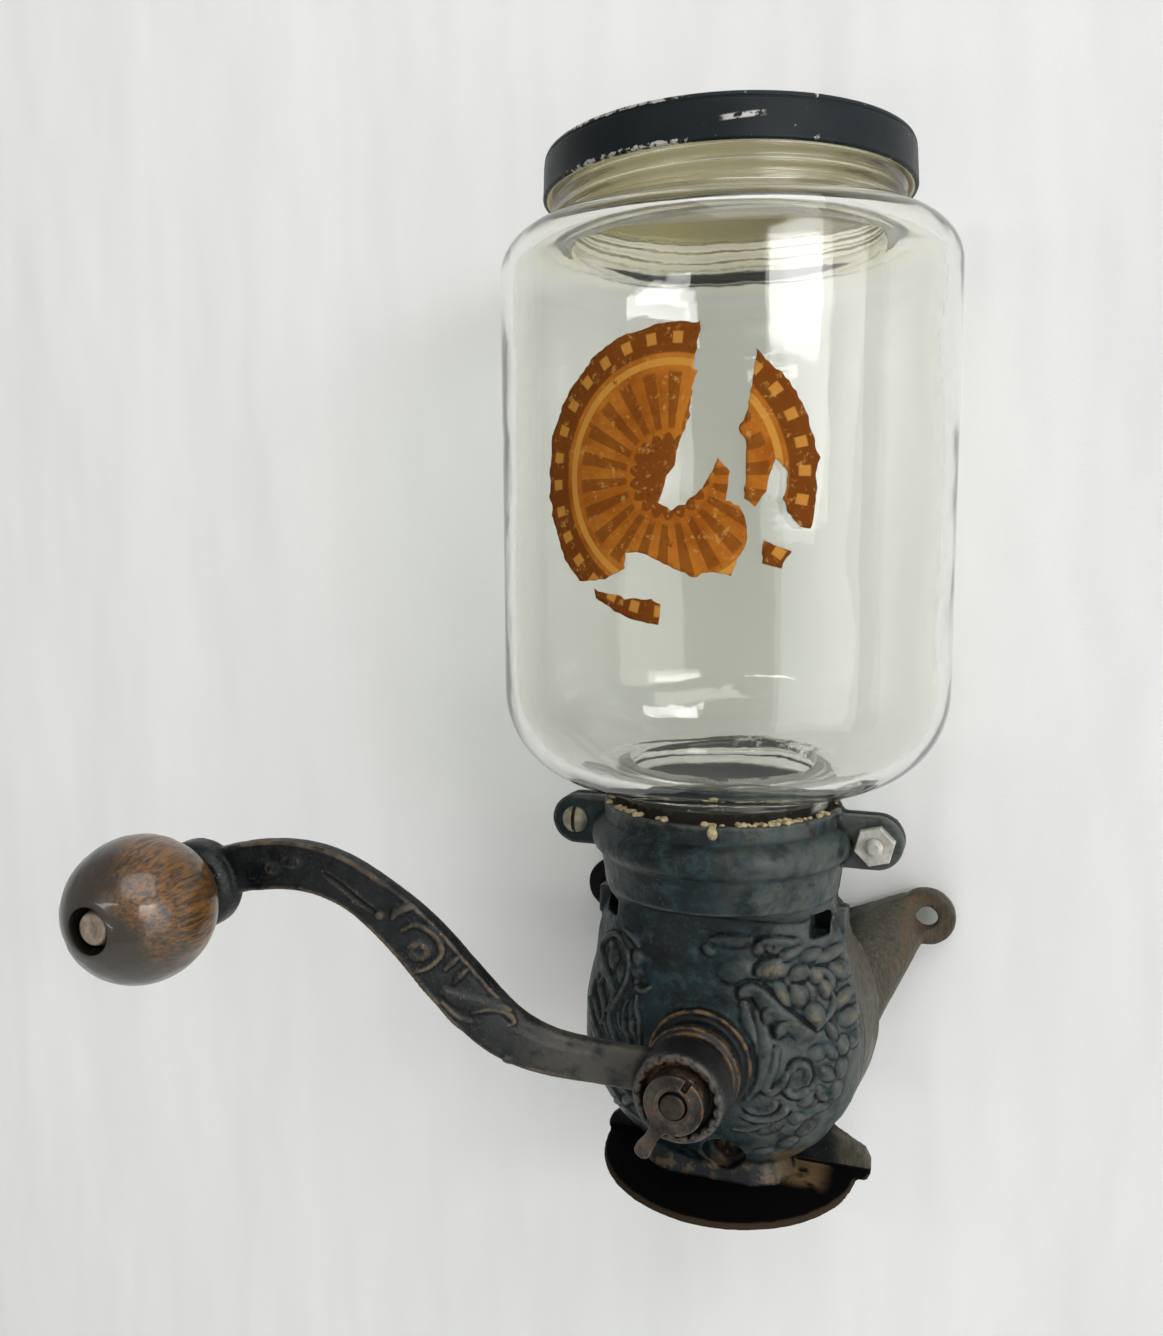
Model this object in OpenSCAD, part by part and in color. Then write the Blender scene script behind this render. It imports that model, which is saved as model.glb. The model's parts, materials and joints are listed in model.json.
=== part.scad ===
// Wall mount canister coffee grinder with a hand crank, in millimetres.
// Frame: the origin is midway between the two wall screws, on the wall's face.
// +X is to the right seen from the room, +Y goes into the wall and +Z is up.

/* [Wall plate] */
// Distance between the two wall screw holes
hole_spacing = 105; // [100:0.5:115]
// Diameter of a wall screw hole
wall_hole_d = 7; // [4:0.5:9]
// Radius of the round lobe at a wall screw hole
lobe_r = 9; // [7:0.5:11]
// Thickness of the wall plate and its ears
plate_t = 5; // [4:0.5:7]

/* [Hopper jar] */
// Outer diameter of the jar
jar_d = 120.5; // [112:0.5:130]
// Thickness of the glass
glass_t = 4; // [2.5:0.5:5]
// Height of the jar's body between its foot and its neck
jar_body_h = 145.5; // [110:0.5:170]
// Radius of the body's lower corner
jar_heel_r = 26; // [16:1:28]
// Outer diameter of the threaded mouth
mouth_d = 90; // [80:1:96]
// Height of the threaded mouth
mouth_h = 17; // [14:0.2:22]
// Radius of the body's upper corner
jar_shoulder_r = 11; // [6:0.5:14]
// Outer diameter of the open foot that seats in the collar
foot_d = 59; // [55:0.5:60]
// Visible length of the foot between the collar and the body
foot_gap = 6; // [3:0.5:8]
// Room between the jar and the wall
wall_gap = 2.75; // [1:0.25:8]

/* [Lid and label] */
// Thickness of the lid's tin
tin_t = 1; // [0.6:0.1:1.4]
// Height of the lid
lid_h = 10.5; // [9:0.5:13]
// Radial room between the mouth's thread and the lid
lid_room = 1.2; // [0.8:0.1:1.6]
// Thickness of the card liner
liner_t = 1.1; // [0.6:0.1:1.5]
// Diameter of the paper label
label_d = 66.5; // [45:0.5:75]
// Height of the label's centre above the foot of the jar's body
label_z = 80; // [60:1:85]
// Thickness of the label's paper
label_t = 0.3; // [0.2:0.1:0.5]

/* [Mill body] */
// Distance of the shaft below the wall screws
shaft_drop = 19; // [14:0.5:24]
// Outer diameter of the mill's drum
drum_d = 81; // [78:0.5:86]
// Wall thickness of the drum
drum_t = 4; // [3:0.5:5]
// Depth of the front dome, from the seam to its crown
dome_depth = 23; // [20:0.5:28]
// Wall thickness of the front dome
dome_t = 5.5; // [4:0.5:6.5]
// Length of the bearing boss in front of the dome
boss_len = 10; // [6:0.5:14]
// Diameter of the bearing boss
boss_d = 23.5; // [20:0.5:28]
// Height of the collar above the drum
collar_h = 26; // [23:0.5:30]
// Outer diameter of the collar's top band
collar_d = 66; // [65:0.5:70]
// Depth of the seat for the jar's foot
seat_depth = 9.5; // [7:0.5:11]
// Radial room for the cement round the foot
cement_t = 1.6; // [1:0.1:2]
// Thickness of a collar ear
collar_ear_t = 4; // [3:0.5:6]
// Diameter of the flange over the catch cup
flange_d = 74; // [70:1:84]
// Distance of the flange's underside below the shaft
flange_drop = 43; // [42:0.5:48]
// Thickness of the flange
flange_t = 3; // [2:0.5:4]
// How far the flange's centre lies behind the seam
flange_back = 6.5; // [4:0.5:12]
// How far the flange's centre lies to the right of the shaft
flange_shift = 1.5; // [0:0.5:3]
// Thickness of a hooked wing
wing_t = 4; // [3:0.5:6]
// Diameter of the outlet for the grounds
outlet_d = 20; // [12:1:24]

/* [Grinding gear] */
// Diameter of the shaft
shaft_d = 10; // [8:0.5:12]
// Diameter of the shaft's rear journal
journal_d = 8; // [6:0.5:9]
// Diameter of the shaft's threaded end
thread_d = 7.3; // [5:0.1:8]
// Diameter of the rotating burr
burr_d = 54; // [48:1:58]
// Thickness of each burr
burr_t = 6; // [5:0.5:8]
// Gap between the burrs, at the middle of the adjustment
burr_gap = 0.9; // [0.8:0.1:1.5]
// Number of teeth on each burr
burr_teeth = 16; // [8:1:24]
// Diameter of the feed worm over its flight
worm_d = 24; // [20:0.5:25]
// Mean diameter of the thrust spring
spring_d = 14.6; // [13:0.2:18]
// Diameter of the spring's wire
wire_d = 1.4; // [1:0.1:1.8]
// Pitch of the adjusting thread
thread_step = 1.27; // [0.8:0.01:1.6]
// Number of the spring's turns
spring_turns = 3; // [2:1:3]

/* [Crank and knob] */
// Sideways distance from the shaft to the knob
crank_reach = 124.5; // [115:0.5:135]
// Height of the knob above the shaft
crank_rise = 49; // [40:0.5:60]
// Width of the crank's arm
arm_w = 12; // [9:0.5:16]
// Thickness of the crank's arm
arm_t = 5; // [4:0.5:8]
// Room between the arm and the jar as the crank passes it
crank_room = 3.5; // [2.5:0.5:8]
// Diameter of the crank's hub
hub_d = 23.8; // [23:0.2:29]
// Length of the crank's hub
hub_len = 12.5; // [10:0.5:16]
// Depth of the hub's serrated recess
recess_depth = 3.5; // [2:0.5:5]
// Number of notches in the recess
notches = 20; // [12:1:24]
// Diameter of the boss that carries the knob
end_boss_d = 23.5; // [18:0.5:25]
// Diameter of the wooden knob
knob_d = 36.8; // [32:0.2:44]
// Length of the knob's ball along the rivet, as a share of its diameter
knob_stretch = 1; // [0.9:0.02:1.2]
// Diameter of the knob's rivet
rivet_d = 6; // [4:0.5:7]
// Length of the finger tab from the nut's axis
tab_len = 16.5; // [14.5:0.5:20]

/* [Fasteners] */
// Diameter of the collar's clamp screws
clamp_d = 4.8; // [3:0.1:6]
// Width across the flats of a clamp nut
nut_flats = 9.5; // [8:0.1:11]
// Thickness of a clamp nut
nut_t = 3.2; // [2:0.1:4]
// Diameter of the lower housing screw
lower_screw_d = 5; // [3:0.5:6]

/* [Clearances] */
// Radial clearance of a shaft or pin in its bore
running = 0.05; // [0.02:0.01:0.08]
// Gap between faces that slide past each other
face_gap = 0.2; // [0.1:0.05:0.3]
// Gap between pieces that are fixed together
fixed_gap = 0.05; // [0.02:0.01:0.1]

/* [Hidden] */
$fn = 64;
far = 400;
past = 1;
iron = [0.13, 0.14, 0.16];
steel = [0.55, 0.55, 0.53];

// Places of the castings, along the shaft and up from it
jar_r = jar_d / 2;
seam_y = -(jar_r + wall_gap);
shaft_z = -shaft_drop;
drum_r = drum_d / 2;
crown_y = seam_y - dome_depth;
boss_y = crown_y - boss_len;
boss_r = boss_d / 2;
boss_root = 4;
root_step = 2.5;
root_lift = 1.5;
ring_step = 1;
ring_w = 2.5;
collar_r = collar_d / 2;
collar_top = shaft_z + drum_r + collar_h;
collar_foot = shaft_z + drum_r - 2;
collar_foot_d = 0.55 * collar_r;
passage_d = collar_foot_d - 4.5;
cheek_r = 6.5;
cheek_x = collar_r - 5;
cheek_z = collar_foot - 3 - cheek_r;
cheek_t = 4;
bead_r = 5;
bead_z = collar_top - 9.6;
band_top = bead_z - bead_r + 1.5;
band_foot = collar_foot + 4.5;
neck_foot = band_foot + 3;
seat_z = collar_top - seat_depth;
bore_r = foot_d / 2 + cement_t;
throat_r = foot_d / 2 - glass_t;
flange_z = shaft_z - flange_drop;
flange_y = seam_y + flange_back;
flange_r = flange_d / 2;
skirt_w = 22;
skirt_d = 12.5;
skirt_draw = 2.5;
skirt_rise = 6;
pocket_w = 4.5;
pocket_h = 7;
pocket_depth = 16;
pocket_x = collar_r - 4;
pocket_z = collar_foot - 5.5;
lug_w = 4;
lug_t = 4;
lug_z = pocket_z - 2;
lug_top = collar_foot + 0.5;
drum_draft = 2;
cement_drop = 0.8;

// Clamp ears at the collar's sides and the lower screw
clamp_x = collar_r + 9.5;
clamp_z = collar_top - 8.5;
clamp_ear_r = 7.2;
ear_run = 16;
clamp_r = clamp_d / 2;
lower_x = 4.5;
lower_z = shaft_z - drum_r + 10;
lower_boss_r = lower_screw_d / 2 + 5;
lower_head_r = lower_screw_d / 2 + 2;
lower_head_y = seam_y - 7;
lower_boss_len = 9;
lower_root = lower_head_y - 4;
slot_w = 1;

// Jar, lid and label
foot_r = foot_d / 2;
body_z = collar_top + foot_gap;
shoulder_z = body_z + jar_body_h;
mouth_r = mouth_d / 2;
rim_z = shoulder_z + mouth_h;
thread_h = 1.3;
thread_pitch = 3.4;
lid_in_r = mouth_r + thread_h + lid_room;
lid_r = lid_in_r + tin_t;
liner_z = rim_z + face_gap;
lid_top = liner_z + liner_t + face_gap + tin_t;
curl_r = 0.9;
liner_room = 0.5;
label_x = 1.5;
label_wrap = label_d / jar_d;
label_squash = sin(label_wrap * 180 / PI) / label_wrap;

// Grinding gear, from the wall forward
shaft_r = shaft_d / 2;
rear_boss_y = -plate_t - 15;
journal_end = -plate_t - 4;
partition_y = seam_y + 17;
partition_t = 4;
burr_r = burr_d / 2;
partition_r = burr_r + 1.5;
rear_r = partition_r + 4.5;
outlet_y = (partition_y + partition_t + rear_boss_y) / 2;
outlet_t = 3.5;
burr_screw_r = 1.75;
fixed_front = partition_y - burr_t;
ring_in_r = worm_d / 2 + 1.5;
ring_out_r = drum_r - drum_t - 3;
burr_front = partition_y + burr_gap;
burr_hub_r = shaft_r + 6;
burr_hub_len = 8;
burr_pin_r = 1.5;
tooth_h = 1.5;
groove_w = 2.4;
worm_rear = fixed_front - 1;
sleeve_t = 2.5;
flight_t = 3;
spring_end = crown_y + dome_t + 1.2;
spring_len = 7;
washer_t = 0.8;
washer_r = spring_d / 2 + 2;
worm_front = spring_end + spring_len + washer_t + 2 * face_gap;
spring_sides = 6;
spring_steps = 10;
spring_rings = spring_turns * spring_steps;
spring_pitch = (spring_len - wire_d) / spring_turns;
echo(spring_least_gap = spring_pitch - wire_d);

// Crank, from the boss forward
hub_rear = boss_y - washer_t - 2 * face_gap;
hub_front = hub_rear - hub_len;
recess_y = hub_front + recess_depth;
hub_r = hub_d / 2;
recess_r = hub_r - 2.9;
notch_r = 0.8;
notch_depth = 2;
square_w = shaft_d * 0.7;
square_hole = square_w + 0.16;
adjust_travel = thread_step / 2;
square_front = recess_y + adjust_travel;
thread_start = recess_y - adjust_travel - face_gap;
neck_r = min(square_w, thread_d) / 2 - running;
shoulder_y = hub_rear + adjust_travel + face_gap;
arm_start_y = hub_rear - 4.5;
arm_end_y = seam_y - jar_r - crank_room - arm_t / 2;
end_boss_rear = arm_end_y + arm_t / 2;
end_boss_front = arm_end_y - arm_t / 2 - 4;
knob_r = knob_d / 2;
knob_rear = end_boss_front - 2 * face_gap;
knob_half = knob_r * knob_stretch;
knob_y = knob_rear - knob_half + 0.7;
sink_r = rivet_d / 2 + 2.6;
sink_y = knob_y - knob_half + 6.2;
rivet_head_t = 3;
nut_r = recess_r - 1.3;
nut_front = hub_front - 3.2;
shaft_tip = nut_front - 2;
tab_angle = -121;
tab_r = 2.4;
tab_t = hub_front - nut_front - face_gap;

// Arm path from hub to knob, as shares of the reach and the rise
arm_path = [[0.05, 0.06], [0.34, 0.02], [0.37, 0.34], [0.454, 0.64], [0.53, 0.96], [0.66, 1.375], [1, 1.02]];
arm_taper = [0.93, 1.08];
bend_start = 0.13 * crank_reach;
bend_end = 0.6 * crank_reach;

// Points of an arc about c from angle a to angle b
function arc(c, r, a, b, n = 6) = [for (i = [0:n]) let (t = a + (b - a) * i / n) c + r * [cos(t), sin(t)]];
function bezier(p, t) = pow(1 - t, 3) * p[0] + 3 * t * pow(1 - t, 2) * p[1]
    + 3 * t * t * (1 - t) * p[2] + pow(t, 3) * p[3];
function smooth(t) = let (u = min(max(t, 0), 1)) u * u * (3 - 2 * u);
function unit(v) = v / norm(v);

// A cylinder along Y about the shaft's height
module rod(r, from, to, x = 0, z = shaft_z) {
    translate([x, min(from, to), z]) rotate([-90, 0, 0]) cylinder(r = r, h = abs(to - from));
}

// A profile of [radius, y] points turned about the shaft
module turned(points) {
    translate([0, 0, shaft_z]) rotate([-90, 0, 0]) rotate_extrude() polygon(points);
}

// A profile of [radius, z] points turned about the hopper
module hopper_turned(points) {
    translate([0, seam_y, 0]) rotate_extrude() polygon(points);
}

// A flat plate parallel to the wall, from an [x, z] outline
module slab(from, to) {
    translate([0, max(from, to), 0]) rotate([90, 0, 0]) linear_extrude(abs(to - from)) children();
}

// Cheeks that widen the body's upper corners to the collar
module cheeks(from, to) {
    for (s = [-1, 1]) rod(cheek_r, from, to, s * cheek_x, cheek_z, $fn = 32);
}

module half_space_back() {
    translate([-far / 2, seam_y, -far / 2]) cube(far);
}

// Domed profile from just behind the seam to the crown
function dome_profile(r, depth) = concat([[0, seam_y + past], [r, seam_y + past]],
    [for (a = [0:10:90]) [r * cos(a), seam_y - depth * sin(a)]]);

// A level slice with round ends, wider across than deep
module oval(half_w, half_d, z, h) {
    flat = half_w - half_d;
    for (s = [-1, 1]) translate([s * flat, seam_y, z]) cylinder(r = half_d, h = h, $fn = 32);
    translate([-flat, seam_y - half_d, z]) cube([2 * flat, 2 * half_d, h]);
}

// Collar: top band, rounded bead, lower band and an underside that draws in to the drum
module collar_solid() {
    translate([0, seam_y, band_top - 3]) cylinder(r = collar_r, h = collar_top - band_top + 3);
    translate([0, seam_y, bead_z]) rotate_extrude() translate([collar_r - 1.5, 0]) circle(r = bead_r);
    translate([0, seam_y, band_foot]) cylinder(r1 = collar_r - 0.5, r2 = collar_r + 1, h = band_top - band_foot);
    hull() {
        translate([0, seam_y, band_foot]) cylinder(r = collar_r - 1, h = 1, $fn = 32);
        oval(collar_r - 0.5, collar_foot_d, collar_foot, 1);
    }
}

// Bean passage: the seat of the jar's foot and the throat below it
module collar_passage() {
    translate([0, seam_y, seat_z]) cylinder(r = bore_r, h = far);
    oval(throat_r, throat_r - 1, neck_foot, seat_z - neck_foot + past);
    hull() {
        oval(throat_r, throat_r - 1, neck_foot, 1);
        oval(throat_r - 2, passage_d, collar_foot, 1);
    }
    oval(throat_r - 2, passage_d, shaft_z + worm_d / 2 + 3, collar_foot - shaft_z - worm_d / 2 - 2.5);
}

// Ears of one half of the collar
module collar_ears(from, to) {
    for (s = [-1, 1]) {
        rod(clamp_ear_r, from, to, s * clamp_x, clamp_z);
        slab(from, to) translate([s * (clamp_x - ear_run / 2), clamp_z])
            square([ear_run, 2 * clamp_ear_r], center = true);
    }
}

module clamp_holes() {
    for (s = [-1, 1]) rod(clamp_r + fixed_gap, seam_y - far / 4, seam_y + far / 4, s * clamp_x, clamp_z);
}

// Lugs beside the seam's pockets, on the drum's shoulder
module seam_lugs(from, to) {
    for (s = [-1, 1]) slab(from, to) translate([s * (pocket_x + pocket_w / 2 + lug_w / 2 - past / 2), lug_z])
        translate([-(lug_w + past) / 2, 0]) square([lug_w + past, lug_top - lug_z]);
}

// Skirt that fairs the body's underside into the flange
module skirt() {
    hull() {
        oval(skirt_w, skirt_d, flange_z + flange_t - past, past);
        oval(skirt_w - skirt_draw, skirt_d - skirt_draw, flange_z + flange_t + skirt_rise, past);
    }
}

// Pockets in the seam's edge beside the collar
module seam_pockets() {
    for (s = [-1, 1]) translate([s * pocket_x - pocket_w / 2, seam_y - pocket_depth, pocket_z])
        cube([pocket_w, pocket_depth + past, pocket_h]);
}

// Boss of the lower screw, on a rib that stands on the drum's wall
module lower_boss(from, to) {
    wall_z = shaft_z - drum_r + drum_t / 2;
    rod(lower_boss_r, from, to, lower_x, lower_z);
    slab(from, to) translate([lower_x - lower_boss_r / 2, wall_z]) square([lower_boss_r, lower_z - wall_z]);
}

module front_housing() {
    color(iron) difference() {
        union() {
            hull() {
                turned(dome_profile(drum_r, dome_depth), $fn = 48);
                cheeks(seam_y - cheek_t, seam_y + past);
                oval(collar_r - 1.5, collar_foot_d - 1, collar_foot - 0.5, 1);
            }
            rod(boss_r + root_step, crown_y + boss_root, crown_y - root_lift);
            rod(boss_r, crown_y + boss_root, boss_y);
            rod(boss_r + ring_step, boss_y + ring_step + ring_w, boss_y + ring_step);
            collar_solid();
            collar_ears(seam_y - collar_ear_t, seam_y + past);
            seam_lugs(seam_y - lug_t, seam_y + past);
            skirt();
        }
        difference() {
            turned(dome_profile(drum_r - dome_t, dome_depth - dome_t));
            lower_boss(seam_y + past, lower_root);
        }
        collar_passage();
        half_space_back();
        clamp_holes();
        seam_pockets();
        rod(shaft_r + running, boss_y - past, seam_y + past);
        rod(lower_screw_d / 2 + fixed_gap, lower_head_y - past, seam_y + past, lower_x, lower_z);
        rod(lower_head_r + 1.5, lower_head_y, crown_y - past, lower_x, lower_z);
        translate([-far / 2, seam_y - far / 2, flange_z + flange_t + fixed_gap - far]) cube(far);
    }
}

// Web that fairs an ear into the drum
module ear_web(s) {
    hull() {
        rod(lobe_r - 1.5, -plate_t, 0, s * (hole_spacing / 2 - 6), -1, $fn = 24);
        rod(0.33 * drum_r, partition_y, 0, s * 0.65 * drum_r, shaft_z - 3, $fn = 24);
        rod(0.15 * drum_r, -3 * plate_t, 0, s * 0.65 * drum_r, -8, $fn = 24);
    }
}

// Hooked wing at the flange's right end, as an [x, z] outline
module right_wing() {
    tip = flange_shift + flange_r;
    base = flange_z + flange_t - 0.5;
    polygon([[tip - 18.5, base], [tip - 18.5, base + 14], [tip - 9, base + 12.8], [tip - 3.8, base + 9.6],
        [tip + 2.2, base + 6.2], [tip + 3.6, base + 3.2], [tip + 3.5, base - 0.5], [tip + 2.4, base - 2.7],
        [tip + 1, base - 2.7], [tip + 0.6, base - 1], [tip - 0.5, base]]);
}

// Low wing at the flange's left end, without a hook
module left_wing() {
    tip = flange_shift - flange_r;
    base = flange_z + flange_t - 0.5;
    polygon([[tip + 18.5, base], [tip + 18.5, base + 10], [tip + 7, base + 6.4], [tip + 2.5, base + 5.4],
        [tip + 0.3, base + 3.9], [tip - 0.7, base + 2], [tip - 0.7, base]]);
}

module back_housing() {
    color(iron) difference() {
        union() {
            turned([[0, seam_y], [drum_r, seam_y], [drum_r + drum_draft, partition_y + partition_t],
                [0, partition_y + partition_t]]);
            rod(rear_r, seam_y, 0);
            intersection() {
                hull() {
                    rod(drum_r - 0.5, seam_y, partition_y, $fn = 48);
                    cheeks(seam_y, partition_y - cheek_t);
                    oval(collar_r - 1.5, collar_foot_d - 1, collar_foot - 0.5, 1);
                }
                half_space_back();
            }
            translate([0, outlet_y, flange_z]) cylinder(d = outlet_d + 2 * outlet_t, h = drum_r - rear_r + 8);
            for (s = [-1, 1]) {
                rod(lobe_r, -plate_t, 0, s * hole_spacing / 2, 0);
                ear_web(s);
            }
            intersection() {
                collar_solid();
                half_space_back();
            }
            collar_ears(seam_y, seam_y + collar_ear_t);
            translate([flange_shift, flange_y, 0]) rotate_extrude() polygon([[0, flange_z], [flange_r, flange_z],
                [flange_r, flange_z + flange_t - 1], [flange_r - 8, flange_z + flange_t], [0, flange_z + flange_t]]);
            slab(flange_y, flange_y + wing_t) {
                right_wing();
                left_wing();
            }
            seam_lugs(seam_y, seam_y + lug_t);
            intersection() {
                skirt();
                half_space_back();
            }
        }
        difference() {
            union() {
                rod(drum_r - drum_t, seam_y - 1, partition_y);
                rod(partition_r, partition_y - 1, -plate_t);
            }
            rod(burr_hub_r, rear_boss_y, 0);
            lower_boss(seam_y, seam_y + lower_boss_len);
        }
        intersection() {
            collar_passage();
            half_space_back();
        }
        translate([0, outlet_y, flange_z - 1]) cylinder(d = outlet_d, h = drum_r / 2);
        for (s = [-1, 1]) rod(wall_hole_d / 2, -far / 8, far / 8, s * hole_spacing / 2, 0);
        clamp_holes();
        rod(journal_d / 2 + running, rear_boss_y - 1, -plate_t);
        rod(lower_screw_d / 2 + fixed_gap, seam_y - 1, seam_y + lower_boss_len - 2, lower_x, lower_z);
        burr_screw_places() rod(burr_screw_r + fixed_gap, fixed_front, partition_y + partition_t + 1, 0, 0);
    }
}

// Glass wall from the foot to the mouth, with three ridges of thread
module hopper_jar() {
    heel = [jar_r - jar_heel_r, body_z + jar_heel_r];
    shoulder = [jar_r - jar_shoulder_r, shoulder_z - jar_shoulder_r];
    ridges = [for (i = [0:2]) let (z = shoulder_z + 2.4 + i * thread_pitch)
        each [[mouth_r, z - 1.2], [mouth_r + thread_h, z - 0.4], [mouth_r + thread_h, z + 0.4], [mouth_r, z + 1.2]]];
    color([0.85, 0.88, 0.82, 0.4]) hopper_turned(concat(
        [[throat_r, seat_z + fixed_gap], [foot_r, seat_z + fixed_gap], [foot_r, body_z]],
        arc(heel, jar_heel_r, -90, 0), arc(shoulder, jar_shoulder_r, 0, 90), ridges,
        [[mouth_r, rim_z], [mouth_r - glass_t, rim_z], [mouth_r - glass_t, shoulder_z - glass_t]],
        arc(shoulder, jar_shoulder_r - glass_t, 90, 0), arc(heel, jar_heel_r - glass_t, 0, -90),
        [[throat_r, body_z + glass_t]]));
}

// Ring of cement between the jar's foot and the collar, its top just below the collar's rim
module jar_cement() {
    color([0.66, 0.6, 0.45]) hopper_turned([[foot_r + fixed_gap, seat_z + 1], [bore_r - fixed_gap, seat_z + 1],
        [bore_r - fixed_gap, collar_top - cement_drop], [foot_r + fixed_gap, collar_top - cement_drop]]);
}

module jar_lid() {
    color([0.1, 0.12, 0.16]) {
        hopper_turned([[0, lid_top - tin_t], [lid_in_r, lid_top - tin_t], [lid_in_r, lid_top - lid_h],
            [lid_r, lid_top - lid_h], [lid_r, lid_top - 0.8], [lid_r - 0.8, lid_top], [0, lid_top]]);
        translate([0, seam_y, lid_top - lid_h + curl_r]) rotate_extrude() translate([lid_r - 0.3, 0]) circle(r = curl_r);
    }
}

module lid_liner() {
    color([0.6, 0.5, 0.36]) translate([0, seam_y, liner_z]) cylinder(r = lid_in_r - liner_room, h = liner_t);
}

// Torn outline of the label about its centre, in shares of the label's radius
module label_outline() {
    r = label_d / 2;
    intersection() {
        circle(r = r);
        union() {
            polygon(r * [[0.226, 1.1], [0.193, 0.84], [0.163, 0.7], [0.21, 0.68], [0.163, 0.57], [0.152, 0.4],
                [0.08, 0.225], [0.04, 0.055], [-0.085, -0.167], [0.017, -0.218], [0.125, -0.19], [0.238, -0.08],
                [0.337, 0.112], [0.41, 0.03], [0.395, -0.15], [0.508, -0.2], [0.536, -0.405], [0.438, -0.66],
                [0.33, -0.634], [0.2, -0.668], [0.048, -0.61], [-0.19, -0.508], [-0.32, -0.514],
                [-0.344, -0.627], [-0.48, -0.695], [-0.9, -0.695], [-1.1, 0], [-1.1, 1.1]]);
            polygon(r * [[0.587, 1.1], [1.1, 1.1], [1.1, -0.34], [0.88, -0.34], [0.828, -0.286], [0.782, -0.15],
                [0.809, 0.02], [0.706, 0.106], [0.656, -0.116], [0.58, -0.21], [0.53, -0.15], [0.522, 0.19],
                [0.491, 0.31], [0.55, 0.463]]);
            polygon(r * [[0.656, -0.422], [0.82, -0.49], [0.77, -0.615], [0.637, -0.576]]);
            polygon(r * [[-0.57, -0.76], [-0.48, -0.787], [-0.31, -0.82], [-0.11, -0.814], [-0.06, -0.848],
                [-0.07, -1.1], [-0.62, -1.1]]);
        }
    }
}

module paper_label() {
    color([0.72, 0.5, 0.28]) intersection() {
        translate([0, seam_y, body_z]) difference() {
            cylinder(r = jar_r + fixed_gap + label_t, h = jar_body_h);
            translate([0, 0, -1]) cylinder(r = jar_r + fixed_gap, h = jar_body_h + 2);
        }
        slab(seam_y - jar_r - 5, seam_y - jar_r / 3) translate([label_x, body_z + label_z])
            scale([label_squash, 1]) label_outline();
    }
}

// A slotted round head on the end of a screw
module slotted_head(r, h, y, x, z) {
    difference() {
        intersection() {
            rod(r, y - h, y, x, z);
            translate([x, y + 1.2 * r - h, z]) sphere(r = 1.2 * r);
        }
        translate([x - slot_w / 2, y - h - 1, z - r]) cube([slot_w, 1 + 0.45 * h, 2 * r]);
    }
}

module left_clamp_screw() {
    color(steel) {
        slotted_head(clamp_d * 0.8, 2.6, seam_y - collar_ear_t - fixed_gap, -clamp_x, clamp_z);
        rod(clamp_r, seam_y - collar_ear_t - 0.5, seam_y + collar_ear_t + nut_t + 2, -clamp_x, clamp_z);
    }
}

module left_clamp_nut() {
    y = seam_y + collar_ear_t + fixed_gap;
    color(steel) difference() {
        translate([-clamp_x - nut_flats / 2, y, clamp_z - nut_flats / 2]) cube([nut_flats, nut_t, nut_flats]);
        rod(clamp_r + fixed_gap, y - 1, y + nut_t + 1, -clamp_x, clamp_z);
    }
}

module right_clamp_bolt() {
    y = seam_y + collar_ear_t + fixed_gap;
    color(steel) {
        rod(clamp_r, seam_y - collar_ear_t - nut_t - 2.2, y + 0.5, clamp_x, clamp_z);
        translate([clamp_x - nut_flats / 2, y, clamp_z - nut_flats / 2]) cube([nut_flats, nut_t, nut_flats]);
    }
}

module right_clamp_nut() {
    y = seam_y - collar_ear_t - fixed_gap;
    color(steel) difference() {
        rod(nut_flats / sqrt(3), y - nut_t, y, clamp_x, clamp_z, $fn = 6);
        rod(clamp_r + fixed_gap, y - nut_t - 1, y + 1, clamp_x, clamp_z, $fn = 64);
    }
}

module housing_screw() {
    color(iron) {
        slotted_head(lower_head_r, 2.4, lower_head_y - fixed_gap, lower_x, lower_z);
        rod(lower_screw_d / 2, lower_head_y - 0.5, seam_y + lower_boss_len - 3, lower_x, lower_z);
    }
}

// Outline of the arm seen from the front: two joined curves with an even width
module arm_outline() {
    path = [for (p = arm_path) [-p[0] * crank_reach, p[1] * crank_rise]];
    lower = [for (i = [0:3]) path[i]];
    upper = [for (i = [3:6]) path[i]];
    line = concat([for (i = [0:7]) bezier(lower, i / 8)], [for (i = [0:8]) bezier(upper, i / 8)]);
    last = len(line) - 1;
    side = [for (i = [0:last]) let (d = unit(line[min(i + 1, last)] - line[max(i - 1, 0)])) [-d[1], d[0]] * arm_w / 2
        * (arm_taper[0] + (arm_taper[1] - arm_taper[0]) * i / last)];
    polygon(concat([for (i = [0:last]) line[i] + side[i]], [for (i = [last:-1:0]) line[i] - side[i]]));
}

// Outline of the arm seen from above: it steps forward to clear the jar
module arm_bend() {
    steps = [for (i = [0:8]) let (t = i / 8)
        [-(bend_start + (bend_end - bend_start) * t), arm_start_y + (arm_end_y - arm_start_y) * smooth(t)]];
    line = concat([[hub_r, arm_start_y]], steps, [[-crank_reach - end_boss_d, arm_end_y]]);
    polygon(concat([for (p = line) p + [0, arm_t / 2]], [for (i = [len(line) - 1:-1:0]) line[i] - [0, arm_t / 2]]));
}

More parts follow.
